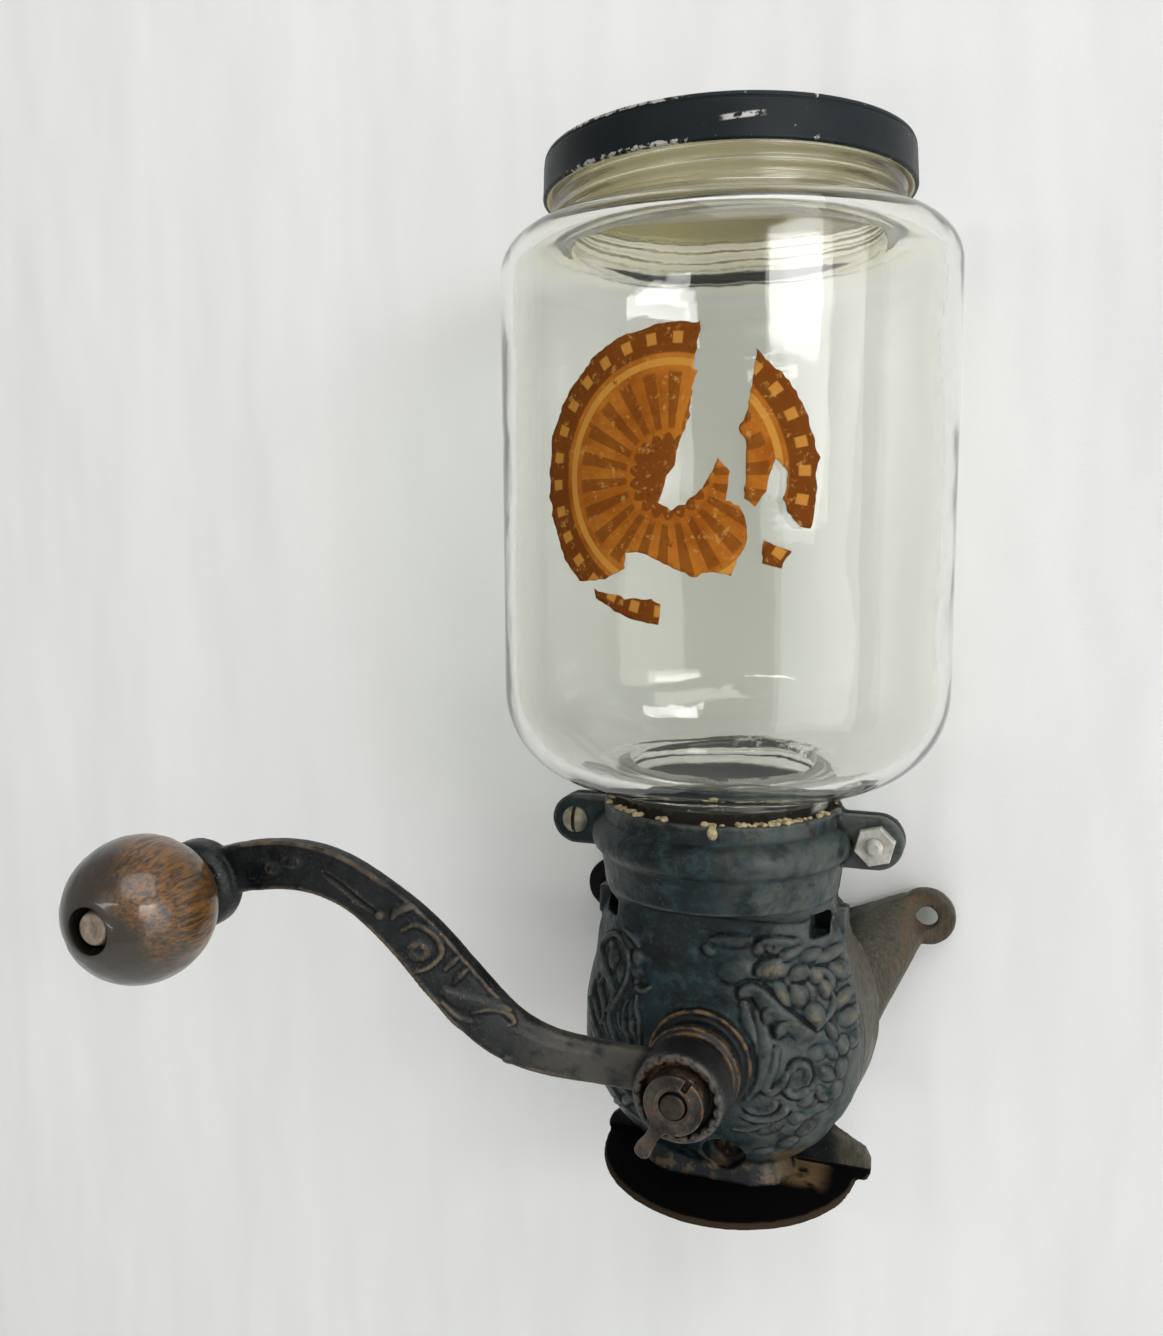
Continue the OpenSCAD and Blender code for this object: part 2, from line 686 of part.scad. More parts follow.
module crank_arm() {
    color(iron) difference() {
        union() {
            intersection() {
                slab(0, -far) translate([0, shaft_z]) arm_outline();
                translate([0, 0, -far / 2]) linear_extrude(far) arm_bend();
            }
            rod(hub_r, hub_rear, hub_front);
            rod(end_boss_d / 2, end_boss_rear, end_boss_front, -crank_reach, shaft_z + crank_rise);
        }
        rod(recess_r, recess_y, hub_front - past);
        for (i = [0:notches - 1]) translate([0, 0, shaft_z]) rotate([0, 360 * i / notches, 0])
            rod(notch_r, hub_front + notch_depth, hub_front - past, recess_r + 0.3, 0, $fn = 16);
        translate([-square_hole / 2, recess_y - past, shaft_z - square_hole / 2])
            cube([square_hole, hub_len + 2 * past, square_hole]);
        rod(rivet_d / 2 + fixed_gap, end_boss_rear + past, end_boss_front - past, -crank_reach, shaft_z + crank_rise);
    }
}

module thrust_washer() {
    color(steel) difference() {
        rod(boss_r - 2, hub_rear + face_gap, hub_rear + face_gap + washer_t);
        rod(shaft_r + running, hub_rear, boss_y);
    }
}

// Turned ball with a counterbore in front, flat where it meets the arm's boss
module knob() {
    bore = rivet_d / 2 + running;
    color([0.33, 0.2, 0.1]) translate([-crank_reach, 0, crank_rise]) turned(concat(
        [[bore, knob_rear], [bore, sink_y], [sink_r, sink_y]],
        [for (p = arc([0, 0], 1, -acos(sink_r / knob_r), asin((knob_rear - knob_y) / knob_half), 16))
            [knob_r * p[0], knob_y + knob_half * p[1]]]));
}

module knob_rivet() {
    z = shaft_z + crank_rise;
    color([0.6, 0.45, 0.35]) {
        rod(rivet_d / 2 + 1.2, sink_y - face_gap, sink_y - face_gap - rivet_head_t, -crank_reach, z);
        rod(rivet_d / 2, end_boss_rear + 0.5, sink_y - face_gap - 0.5, -crank_reach, z);
        rod(rivet_d / 2 + 1.5, end_boss_rear + fixed_gap, end_boss_rear + fixed_gap + 1, -crank_reach, z);
    }
}

// Thumb nut in the hub's recess, with a finger tab over the rim
module adjusting_nut() {
    color(iron) difference() {
        union() {
            rod(nut_r, recess_y - face_gap, nut_front);
            translate([0, 0, shaft_z]) rotate([0, -tab_angle, 0]) {
                translate([0, nut_front, -tab_r]) cube([tab_len - tab_r, tab_t, 2 * tab_r]);
                rod(tab_r, nut_front, nut_front + tab_t, tab_len - tab_r, 0);
            }
        }
        rod(thread_d / 2 + running, recess_y + 1, nut_front - 1);
        translate([0, 0, shaft_z]) rotate([0, -tab_angle - 180, 0])
            translate([thread_d / 2 + 1, nut_front - 1, -0.8]) cube([nut_r, 2.8, 1.6]);
    }
}

module drive_shaft() {
    color(steel) difference() {
        union() {
            rod(journal_d / 2, journal_end, burr_front + burr_t + burr_hub_len);
            rod(shaft_r, burr_front + burr_t + burr_hub_len + 1, shoulder_y);
            translate([-square_w / 2, square_front, shaft_z - square_w / 2])
                cube([square_w, shoulder_y - square_front + past, square_w]);
            rod(neck_r, square_front + past, thread_start - past);
            rod(thread_d / 2, thread_start, shaft_tip);
        }
        burr_pin_hole(fixed_gap);
    }
}

module burr_pin_hole(room) {
    translate([0, burr_front + burr_t + burr_hub_len / 2, shaft_z])
        cylinder(r = burr_pin_r + room, h = 2 * burr_hub_r + 2, center = true);
}

module burr_pin() {
    color(steel) translate([0, burr_front + burr_t + burr_hub_len / 2, shaft_z])
        cylinder(r = burr_pin_r, h = 2 * burr_hub_r, center = true);
}

// Radial grooves between the teeth, on one face of a burr
module tooth_grooves(in_r, out_r, from, to) {
    for (i = [0:burr_teeth - 1]) translate([0, 0, shaft_z]) rotate([0, 360 * i / burr_teeth, 0])
        translate([in_r, min(from, to), -groove_w / 2]) cube([out_r - in_r, abs(to - from), groove_w]);
}

module rotating_burr() {
    color(iron) difference() {
        union() {
            rod(burr_r, burr_front, burr_front + burr_t);
            rod(burr_hub_r, burr_front, burr_front + burr_t + burr_hub_len);
        }
        tooth_grooves(burr_hub_r, burr_r + 1, burr_front - 1, burr_front + tooth_h);
        rod(shaft_r + fixed_gap, burr_front - 1, burr_front + burr_t + burr_hub_len + 1);
        burr_pin_hole(fixed_gap);
    }
}

module burr_screw_places() {
    for (a = [90, 210, 330]) translate([0, 0, shaft_z]) rotate([0, -a, 0])
        translate([(partition_r + ring_out_r) / 2, 0, 0]) children();
}

module fixed_burr() {
    color(iron) difference() {
        rod(ring_out_r, fixed_front, partition_y - fixed_gap);
        rod(ring_in_r, fixed_front - 1, partition_y + 1);
        tooth_grooves(ring_in_r - 1, burr_r, partition_y - tooth_h, partition_y + 1);
        burr_screw_places() rod(burr_screw_r + fixed_gap, fixed_front - 1, partition_y + 1, 0, 0);
    }
}

module burr_screws() {
    color(steel) burr_screw_places() {
        slotted_head(3, 1.6, fixed_front - fixed_gap, 0, 0);
        rod(burr_screw_r, fixed_front - 0.5, partition_y + partition_t - 0.5, 0, 0);
    }
}

// Sleeve with one helical flight
module feed_worm() {
    color(iron) difference() {
        translate([0, worm_front, shaft_z]) rotate([-90, 0, 0])
            linear_extrude(worm_rear - worm_front, twist = -420, slices = 20, $fn = 18) {
                circle(r = shaft_r + sleeve_t, $fn = 18);
                translate([0, -flight_t / 2]) square([worm_d / 2, flight_t]);
            }
        rod(shaft_r + fixed_gap, worm_front - 1, worm_rear + 1);
    }
}

module spring_washer() {
    color(steel) difference() {
        rod(washer_r, worm_front - face_gap - washer_t, worm_front - face_gap);
        rod(shaft_r + fixed_gap, worm_front - 2 * washer_t - 1, worm_front);
    }
}

// Coil spring: one unbroken wire swept along a helix round the shaft
function spring_point(i) = let (a = 360 * i / spring_steps)
    [spring_d / 2 * cos(a), spring_end + wire_d / 2 + spring_pitch * i / spring_steps, shaft_z + spring_d / 2 * sin(a)];

module thrust_spring() {
    points = [for (i = [0:spring_rings]) for (k = [0:spring_sides - 1])
        let (a = 360 * i / spring_steps, b = 360 * k / spring_sides)
        spring_point(i) + wire_d / 2 * (cos(b) * [cos(a), 0, sin(a)] + sin(b) * [0, 1, 0])];
    sides = [for (i = [0:spring_rings - 1]) for (k = [0:spring_sides - 1])
        let (p = i * spring_sides + k, q = i * spring_sides + (k + 1) % spring_sides)
        each [[p, p + spring_sides, q], [q, p + spring_sides, q + spring_sides]]];
    start = [for (k = [1:spring_sides - 2]) [0, k, k + 1]];
    stop = [for (k = [1:spring_sides - 2]) let (e = spring_rings * spring_sides) [e, e + k + 1, e + k]];
    color(steel) polyhedron(points, concat(sides, start, stop));
}

front_housing();
back_housing();
hopper_jar();
jar_cement();
jar_lid();
lid_liner();
paper_label();
left_clamp_screw();
left_clamp_nut();
right_clamp_bolt();
right_clamp_nut();
housing_screw();
crank_arm();
thrust_washer();
knob();
knob_rivet();
adjusting_nut();
drive_shaft();
rotating_burr();
burr_pin();
feed_worm();
spring_washer();
thrust_spring();
fixed_burr();
burr_screws();
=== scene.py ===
"""Looks of the wall mount coffee grinder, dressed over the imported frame. Sizes here are in millimetres."""
import json
import math

import bmesh
import bpy
import numpy as np
from mathutils import Matrix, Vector
from mathutils.geometry import delaunay_2d_cdt


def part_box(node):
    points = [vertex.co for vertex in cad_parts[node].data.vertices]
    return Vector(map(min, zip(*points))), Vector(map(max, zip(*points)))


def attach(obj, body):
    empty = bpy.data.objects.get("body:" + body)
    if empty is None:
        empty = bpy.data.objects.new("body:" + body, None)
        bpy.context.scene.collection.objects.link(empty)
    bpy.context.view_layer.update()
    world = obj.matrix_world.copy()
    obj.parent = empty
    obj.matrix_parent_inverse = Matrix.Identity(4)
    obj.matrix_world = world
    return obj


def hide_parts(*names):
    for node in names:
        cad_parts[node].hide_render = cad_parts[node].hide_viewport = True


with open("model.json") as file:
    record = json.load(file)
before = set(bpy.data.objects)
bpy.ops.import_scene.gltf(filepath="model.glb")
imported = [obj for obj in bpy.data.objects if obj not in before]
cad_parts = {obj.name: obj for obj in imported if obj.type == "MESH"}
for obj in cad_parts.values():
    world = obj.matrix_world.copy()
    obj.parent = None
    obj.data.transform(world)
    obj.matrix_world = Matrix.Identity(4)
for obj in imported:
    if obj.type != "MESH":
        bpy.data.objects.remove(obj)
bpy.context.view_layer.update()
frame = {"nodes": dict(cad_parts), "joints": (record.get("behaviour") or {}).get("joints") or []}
MM = 0.001
X, Y, Z = 0, 1, 2
JOINTS = {joint["name"]: joint for joint in frame["joints"]}


def spot(joint):
    """A joint's place in mm."""
    return [value / MM for value in JOINTS[joint]["pos_m"]]


def span(node, axis):
    """A node's lowest and highest value along an axis, in mm."""
    low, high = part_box(node)
    return low[axis] / MM, high[axis] / MM


def half(node, axis):
    low, high = span(node, axis)
    return (high - low) / 2


def middle(node, axis):
    low, high = span(node, axis)
    return (high + low) / 2


# Places taken from the frame
SHAFT_Z = spot("crank_turn")[Z]
KNOB_X, _, KNOB_Z = spot("knob_spin")
JAR_Y = spot("lid_turn")[Y]
SEAM_Y = span("front_housing", Y)[1]
COLLAR_TOP = span("front_housing", Z)[1]
FLANGE_Z = SHAFT_Z - 43.0
FLANGE_Y = SEAM_Y + 6.5
JAR_LOW, JAR_TOP = span("hopper_jar", Z)
JAR_R = half("hopper_jar", X)
LID_LOW, LID_TOP = span("jar_lid", Z)
LID_R = half("jar_lid", X)
HUB_FRONT = span("adjusting_nut", Y)[1] - 3.3
HUB_REAR = span("crank_arm", Y)[1]
CROWN_Y = SEAM_Y - 23.0
KNOB_FRONT, KNOB_REAR = span("knob", Y)
KNOB_R = half("knob", X)
SHAFT_TIP, SHAFT_END = span("drive_shaft", Y)
NUT_FRONT, NUT_REAR = span("right_clamp_nut", Y)
NUT_X, NUT_Z = middle("right_clamp_nut", X), middle("right_clamp_nut", Z)

# Sizes that the boxes don't give, as in the part's source
DRUM_R, DOME_DEPTH = 40.5, 23.0
GLASS_T, FOOT_R, HEEL_R, SHOULDER_R, MOUTH_R = 4.0, 29.5, 26.0, 11.0, 45.0
BODY_Z, SHOULDER_Z = COLLAR_TOP + 6.0, JAR_TOP - 17.0
THREAD_H, THREAD_PITCH = 1.25, 3.4
COLLAR_R = 33.0
LOWER_X, LOWER_Z = middle("housing_screw", X), middle("housing_screw", Z)
LABEL_R, LABEL_X, LABEL_Z = 33.25, 1.5, BODY_Z + 80.0
CRANK_REACH, CRANK_RISE = -KNOB_X, KNOB_Z - SHAFT_Z
ARM_W, ARM_T, HUB_R, RECESS_R, RECESS_DEPTH = 12.0, 5.0, 11.9, 9.0, 3.5
NUT_R, TAB_TURN = 7.7, -121.0
ARM_PATH = [[0.05, 0.06], [0.34, 0.02], [0.37, 0.34], [0.454, 0.64], [0.53, 0.96], [0.66, 1.375], [1, 1.02]]
ARM_TAPER = (0.93, 1.08)
ARM_START_Y, ARM_END_Y = HUB_REAR - 4.5, SEAM_Y - JAR_R - 6.0
BEND_START, BEND_END = 0.13 * CRANK_REACH, 0.6 * CRANK_REACH
END_BOSS_R, RIVET_R, SINK_R, SINK_DEPTH = 11.75, 3.0, 5.6, 6.2
SHAFT_R, SQUARE_R, SHAFT_THREAD_R, SHAFT_PITCH = 5.0, 4.9, 3.25, 1.27
NUT_FLATS, NUT_HOLE_R, BOLT_R, BOLT_PITCH = 9.5, 2.46, 2.4, 0.79
# Columns round the jar and the lid
ROUND = 192


# Mesh helpers

def lattice(cells):
    """A fixed, even-looking value from 0 to 1 for each whole-number cell."""
    mixed = np.sin(cells @ np.array([127.1, 311.7, 74.7])) * 43758.5453
    return mixed - np.floor(mixed)


def lumps(points, size):
    """Smooth noise from -1 to 1 over points in mm, in lumps of about that size."""
    scaled = np.asarray(points, float) / size
    base = np.floor(scaled)
    part = scaled - base
    part = part * part * (3 - 2 * part)
    total = np.zeros(scaled.shape[:-1])
    for corner in np.ndindex(2, 2, 2):
        share = np.where(np.array(corner) == 1, part, 1 - part).prod(axis=-1)
        total += share * lattice(base + np.array(corner))
    return 2 * total - 1


def smooth(value, low, high):
    """0 below low, 1 above high and an S-curve between."""
    part = np.clip((value - low) / (high - low), 0, 1)
    return part * part * (3 - 2 * part)


def arc(a, b, radius, start, stop, steps):
    """Points of an arc about (a, b), with angles in degrees."""
    turn = np.radians(np.linspace(start, stop, steps + 1))
    return [[a + radius * math.cos(t), b + radius * math.sin(t)] for t in turn]


def rounded(corners, steps=4):
    """A closed outline with each [a, b, radius] corner turned into a curve."""
    outline = []
    for i, (a, b, radius) in enumerate(corners):
        here = np.array([a, b], float)
        before = np.array(corners[i - 1][:2]) - here
        after = np.array(corners[(i + 1) % len(corners)][:2]) - here
        cut = min(radius, 0.49 * np.linalg.norm(before), 0.49 * np.linalg.norm(after))
        start = here + before / np.linalg.norm(before) * cut
        stop = here + after / np.linalg.norm(after) * cut
        for t in np.linspace(0, 1, steps + 1 if radius > 0 else 1):
            outline.append((1 - t) ** 2 * start + 2 * t * (1 - t) * here + t * t * stop)
    return outline


def dense(outline, step):
    """A closed outline with points no further apart than step."""
    points = []
    for here, after in zip(outline, outline[1:] + outline[:1]):
        here = np.array(here, float)
        after = np.array(after, float)
        count = max(1, int(np.ceil(np.linalg.norm(after - here) / step)))
        points += [here + (after - here) * k / count for k in range(count)]
    return np.array(points)


def turned(outline, columns, x, y_or_z, axis):
    """Rings of points from an [radius, height] outline turned about an upright or level axis."""
    turn = np.linspace(0, 2 * math.pi, columns, endpoint=False)
    radius, height = np.array(outline).T
    out = np.empty((len(radius), columns, 3))
    out[:, :, X] = x + radius[:, None] * np.sin(turn)
    out[:, :, Z if axis == Y else Y] = y_or_z - radius[:, None] * np.cos(turn)
    out[:, :, axis] = height[:, None]
    return out, turn


def ring_faces(rows, columns, closed=True):
    """Quads between neighbouring rings of points; closed joins the last ring to the first as well."""
    start = np.arange(rows if closed else rows - 1)[:, None] * columns
    a = start + np.arange(columns)
    b = start + (np.arange(columns) + 1) % columns
    total = rows * columns
    quads = np.stack([a, b, (b + columns) % total, (a + columns) % total], axis=-1)
    return quads.reshape(-1, 4).tolist()


def tube_faces(rows, columns):
    """Faces of a tube of rings with a flat cap at each end."""
    ring = np.arange(columns)
    caps = [ring.tolist(), ((rows - 1) * columns + ring).tolist()]
    return ring_faces(rows, columns, closed=False) + caps


def scale_about(rings, x, z, factor):
    """Draws rings of points toward the level axis through (x, z), in place."""
    rings[:, :, X] = x + (rings[:, :, X] - x) * factor
    rings[:, :, Z] = z + (rings[:, :, Z] - z) * factor


def mesh_of(name, points, faces):
    """A mesh from points in mm, with doubled points joined and its faces turned outward."""
    mesh = bpy.data.meshes.new(name)
    mesh.from_pydata((np.asarray(points).reshape(-1, 3) * MM).tolist(), [], faces)
    bm = bmesh.new()
    bm.from_mesh(mesh)
    bmesh.ops.remove_doubles(bm, verts=bm.verts, dist=1e-7)
    bmesh.ops.recalc_face_normals(bm, faces=bm.faces)
    bm.to_mesh(mesh)
    bm.free()
    return mesh


def lathe(name, outline, columns, x=0.0, y_or_z=JAR_Y, axis=Z):
    rings, _ = turned(outline, columns, x, y_or_z, axis)
    return mesh_of(name, rings, ring_faces(len(outline), columns))


def joined(name, meshes):
    """One mesh that holds the given ones, which are then removed."""
    bm = bmesh.new()
    for mesh in meshes:
        bm.from_mesh(mesh)
        bpy.data.meshes.remove(mesh)
    mesh = bpy.data.meshes.new(name)
    bm.to_mesh(mesh)
    bm.free()
    return mesh


def skinned(mesh, voxel, rounds):
    """One closed skin over a mesh, softened as a casting is."""
    bm = bmesh.new()
    bm.from_mesh(mesh)
    bmesh.ops.remove_doubles(bm, verts=bm.verts, dist=1e-7)
    bm.to_mesh(mesh)
    bm.free()
    rough = bpy.data.objects.new("rough", mesh)
    bpy.context.scene.collection.objects.link(rough)
    skin = rough.modifiers.new("skin", "REMESH")
    skin.mode = "VOXEL"
    skin.voxel_size = voxel * MM
    soften = rough.modifiers.new("soften", "SMOOTH")
    soften.factor = 0.5
    soften.iterations = rounds
    bpy.context.view_layer.update()
    graph = bpy.context.evaluated_depsgraph_get()
    result = bpy.data.meshes.new_from_object(rough.evaluated_get(graph))
    bpy.data.objects.remove(rough)
    bpy.data.meshes.remove(mesh)
    return result


def node_mesh(node):
    return frame["nodes"][node].data.copy()


def points_of(mesh):
    flat = np.empty(len(mesh.vertices) * 3)
    mesh.vertices.foreach_get("co", flat)
    return flat.reshape(-1, 3) / MM


def normals_of(mesh):
    flat = np.empty(len(mesh.vertices) * 3, np.float32)
    mesh.vertex_normals.foreach_get("vector", flat)
    return flat.reshape(-1, 3).astype(float)


def set_points(mesh, points):
    mesh.vertices.foreach_set("co", (points * MM).ravel())
    mesh.update()


def spread(mesh, values, rounds):
    """Values averaged over each vertex's neighbours, round by round."""
    ends = np.empty(len(mesh.edges) * 2, np.int32)
    mesh.edges.foreach_get("vertices", ends)
    a, b = ends.reshape(-1, 2).T
    count = np.bincount(a, minlength=len(values)) + np.bincount(b, minlength=len(values))
    for _ in range(rounds):
        total = np.bincount(a, values[b], len(values)) + np.bincount(b, values[a], len(values))
        values = 0.5 * values + 0.5 * total / np.maximum(count, 1)
    return values


def keep_value(mesh, name, values):
    """Stores a number for each vertex, for the material to read."""
    layer = mesh.attributes.new(name, "FLOAT", "POINT")
    layer.data.foreach_set("value", np.ascontiguousarray(values, dtype=np.float32))


def mark_edges(mesh, reach, scale):
    """Stores how far each vertex stands out from its neighbours' mean, as a share of scale in mm."""
    points = points_of(mesh)
    mean = np.stack([spread(mesh, points[:, k], reach) for k in range(3)], axis=1)
    out = ((points - mean) * normals_of(mesh)).sum(axis=1) / scale
    keep_value(mesh, "edge", np.clip(spread(mesh, out, 2), -1, 1))


def piece(name, mesh, look, body, nodes, sharp=None):
    """A shown object that rides on a body and stands for CAD nodes."""
    obj = bpy.data.objects.new(name, mesh)
    bpy.context.scene.collection.objects.link(obj)
    mesh.materials.clear()
    mesh.materials.append(look)
    mesh.shade_smooth()
    if sharp:
        mesh.set_sharp_from_angle(angle=math.radians(sharp))
    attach(obj, body)
    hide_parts(*nodes)
    return obj


# Material helpers

class Shade:
    """A material's node tree, with short calls for the nodes used here."""

    def __init__(self, name):
        self.mat = bpy.data.materials.new(name)
        self.mat.use_nodes = True
        self.tree = self.mat.node_tree
        self.tree.nodes.clear()
        self.out = self.add("ShaderNodeOutputMaterial")
        self.bsdf = self.add("ShaderNodeBsdfPrincipled")
        self.link(self.bsdf.outputs["BSDF"], self.out.inputs["Surface"])
        self.place = self.add("ShaderNodeTexCoord").outputs["Object"]
        parts = self.add("ShaderNodeSeparateXYZ")
        self.link(self.place, parts.inputs[0])
        self.x, self.y, self.z = parts.outputs

    def add(self, kind, **settings):
        node = self.tree.nodes.new(kind)
        for key, value in settings.items():
            setattr(node, key, value)
        return node

    def link(self, source, target):
        self.tree.links.new(source, target)

    def feed(self, socket, value):
        if isinstance(value, bpy.types.NodeSocket):
            self.link(value, socket)
        else:
            socket.default_value = value

    def set(self, **values):
        """Sets or links sockets of the surface, with _ for a space in the socket's name."""
        for key, value in values.items():
            self.feed(self.bsdf.inputs[key.replace("_", " ")], value)

    def stretched(self, x, y, z):
        node = self.add("ShaderNodeVectorMath", operation="MULTIPLY")
        self.link(self.place, node.inputs[0])
        node.inputs[1].default_value = (x, y, z)
        return node.outputs[0]

    def noise(self, size, detail=3.0, rough=0.55, place=None, warp=0.0):
        """Noise from 0 to 1 with features of about size mm."""
        node = self.add("ShaderNodeTexNoise")
        self.link(place or self.place, node.inputs["Vector"])
        node.inputs["Scale"].default_value = 1 / (size * MM)
        node.inputs["Detail"].default_value = detail
        node.inputs["Roughness"].default_value = rough
        node.inputs["Distortion"].default_value = warp
        return node.outputs["Fac"]

    def cells(self, size, place=None, feature="F1"):
        node = self.add("ShaderNodeTexVoronoi", feature=feature)
        self.link(place or self.place, node.inputs["Vector"])
        node.inputs["Scale"].default_value = 1 / (size * MM)
        return node.outputs["Distance"]

    def value(self, name):
        node = self.add("ShaderNodeAttribute", attribute_name=name)
        return node.outputs["Fac"]

    def math(self, operation, a, b=0.0, clamp=False):
        node = self.add("ShaderNodeMath", operation=operation, use_clamp=clamp)
        self.feed(node.inputs[0], a)
        self.feed(node.inputs[1], b)
        return node.outputs[0]

    def times(self, *values):
        total = values[0]
        for value in values[1:]:
            total = self.math("MULTIPLY", total, value)
        return total

    def plus(self, a, b):
        return self.math("ADD", a, b)

    def step(self, value, low, high):
        """0 at low, 1 at high and smooth between; low may be the larger."""
        node = self.add("ShaderNodeMapRange", interpolation_type="SMOOTHSTEP")
        self.feed(node.inputs["Value"], value)
        node.inputs["From Min"].default_value = low
        node.inputs["From Max"].default_value = high
        return node.outputs["Result"]

    def over(self, value, low, high):
        """A step along a place, with its limits in mm."""
        return self.step(value, low * MM, high * MM)

    def spots(self, low, high, *noise):
        """Patches where noise of the given size, detail and roughness is high."""
        return self.step(self.noise(*noise), low, high)

    def mix(self, share, a, b):
        node = self.add("ShaderNodeMix", data_type="RGBA")
        self.feed(node.inputs["Factor"], share)
        self.feed(node.inputs["A"], a if isinstance(a, bpy.types.NodeSocket) else (*a, 1.0))
        self.feed(node.inputs["B"], b if isinstance(b, bpy.types.NodeSocket) else (*b, 1.0))
        return node.outputs["Result"]

    def tint(self, colour, other, *shares):
        """A colour turned toward another by the product of the shares."""
        return self.mix(self.times(*shares), colour, other)

    def blend(self, share, a, b):
        node = self.add("ShaderNodeMix", data_type="FLOAT")
        self.feed(node.inputs["Factor"], share)
        self.feed(node.inputs["A"], a)
        self.feed(node.inputs["B"], b)
        return node.outputs["Result"]

    def bump(self, *layers):
        """Surface relief from (height, depth in mm) layers."""
        normal = None
        for height, depth in layers:
            node = self.add("ShaderNodeBump")
            node.inputs["Strength"].default_value = 1.0
            node.inputs["Distance"].default_value = depth * MM
            self.link(height, node.inputs["Height"])
            if normal:
                self.link(normal, node.inputs["Normal"])
            normal = node.outputs["Normal"]
        self.link(normal, self.bsdf.inputs["Normal"])

    def see_through(self, where, colour=(1.0, 1.0, 1.0)):
        """Turns the surface into a plain filter of that colour where the value is 1."""
        clear = self.add("ShaderNodeBsdfTransparent")
        clear.inputs["Color"].default_value = (*colour, 1.0)
        choose = self.add("ShaderNodeMixShader")
        self.link(where, choose.inputs[0])
        self.link(self.bsdf.outputs["BSDF"], choose.inputs[1])
        self.link(clear.outputs["BSDF"], choose.inputs[2])
        self.link(choose.outputs[0], self.out.inputs["Surface"])


# Materials

def away_from(s, x, z):
    """A point's distance from the level axis through (x, z), and its height above it."""
    across = s.math("SUBTRACT", s.x, x * MM)
    above = s.math("SUBTRACT", s.z, z * MM)
    return s.math("SQRT", s.plus(s.times(across, across), s.times(above, above))), above


def from_jar_axis(s):
    """A point's distance from the jar's upright axis."""
    back = s.math("SUBTRACT", s.y, JAR_Y * MM)
    return s.math("SQRT", s.plus(s.times(s.x, s.x), s.times(back, back)))


def iron_look(name, dark, light, worn, wear):
    """Old black japan on cast iron: mottled, dull and darkened with painted shade in hollows, dusty, rubbed
    brown where it stands out.
    """
    s = Shade(name)
    mottle = s.noise(8, 5, 0.65)
    grain = s.noise(0.8, 4, 0.65)
    edge = s.value("edge")
    rough_edge = s.plus(edge, s.times(s.math("SUBTRACT", grain, 0.5), 0.8))
    rubbed = s.times(s.step(rough_edge, 0.12, 0.75), s.step(mottle, 0.32, 0.62), wear)
    hollow = s.step(edge, -0.10, -0.7)
    colour = s.mix(s.step(mottle, 0.36, 0.66), dark, light)
    # painted shade: hollows darkened toward black, for the shade that falls in them
    colour = s.mix(s.times(hollow, 0.8), colour, tuple(0.25 * part for part in dark))
    dust = s.times(s.spots(0.56, 0.70, 0.7, 4, 0.75), s.spots(0.40, 0.60, 11, 4), 0.65)
    colour = s.tint(colour, (0.085, 0.088, 0.080), dust)
    colour = s.mix(rubbed, colour, worn)
    speck = s.times(s.spots(0.64, 0.72, 1.6, 4, 0.7), s.step(edge, -0.02, 0.3), wear)
    colour = s.mix(speck, colour, tuple(min(1.0, 2.2 * part) for part in worn))
    skin = s.blend(s.step(mottle, 0.34, 0.66), 0.30, 0.50)
    s.rough = s.blend(hollow, skin, 0.8)
    s.set(Roughness=s.rough, Specular_IOR_Level=0.30)
    s.bump((grain, 0.15), (s.noise(3.5, 3), 0.34))
    return s, colour


def front_iron():
    s, colour = iron_look("front_casting", (0.0006, 0.0034, 0.0044), (0.0050, 0.0165, 0.0190),
                          (0.080, 0.066, 0.046), 0.55)
    top = s.over(s.z, COLLAR_TOP - 4, COLLAR_TOP + 1)
    band = s.times(top, s.spots(0.42, 0.62, 3, 4, 0.7))
    colour = s.tint(colour, (0.11, 0.075, 0.038), band, 0.5)
    # painted sheen: the dome's right side lightened to grey, for the sheen of light from the right
    painted_sheen = s.times(s.over(s.x, 2, 20), s.spots(0.30, 0.58, 6, 4, 0.6), s.step(s.value("edge"), -0.5, 0.0))
    colour = s.tint(colour, (0.068, 0.076, 0.068), painted_sheen, 0.8)
    pale = s.times(s.spots(0.52, 0.64, 4, 4, 0.65), 0.6)
    colour = s.tint(colour, (0.018, 0.042, 0.047), pale)
    # painted highlight: raised ridges lightened to grey, for the light catching them
    ridge = s.times(s.step(s.value("edge"), 0.06, 0.45), s.spots(0.34, 0.6, 3, 4, 0.6), 0.6)
    colour = s.tint(colour, (0.060, 0.068, 0.066), ridge)
    patch = s.times(s.spots(0.36, 0.6, 7, 3, 0.5), s.spots(0.34, 0.62, 2.0, 4, 0.6))
    colour = s.tint(colour, (0.16, 0.125, 0.070), s.step(s.value("tops"), 0.5, 1.3), patch, 0.8)
    away, above = away_from(s, 0.0, SHAFT_Z)
    boss = s.times(s.over(away, 15.5, 14.5), s.over(s.y, CROWN_Y + 1, CROWN_Y - 0.5))
    colour = s.tint(colour, (0.003, 0.003, 0.0035), boss, 0.8)
    rim = s.times(boss, s.step(s.value("edge"), 0.0, 0.5), s.spots(0.36, 0.58, 3.5, 4))
    rim = s.times(rim, s.over(above, -6, 4))
    colour = s.tint(colour, (0.17, 0.090, 0.032), rim, 0.75)
    low = s.over(above, -32, -37)
    colour = s.tint(colour, (0.004, 0.005, 0.006), low, 0.9)
    worn = s.times(low, s.spots(0.49, 0.64, 5, 4, 0.65))
    side = s.times(s.over(s.x, 16.5, 18.5), s.over(above, -26.5, -30))
    corner = s.times(side, s.spots(0.3, 0.5, 2.2, 4))
    colour = s.tint(colour, (0.13, 0.088, 0.046), s.math("MAXIMUM", worn, corner), 0.7)
    s.set(Base_Color=colour)
    return s.mat


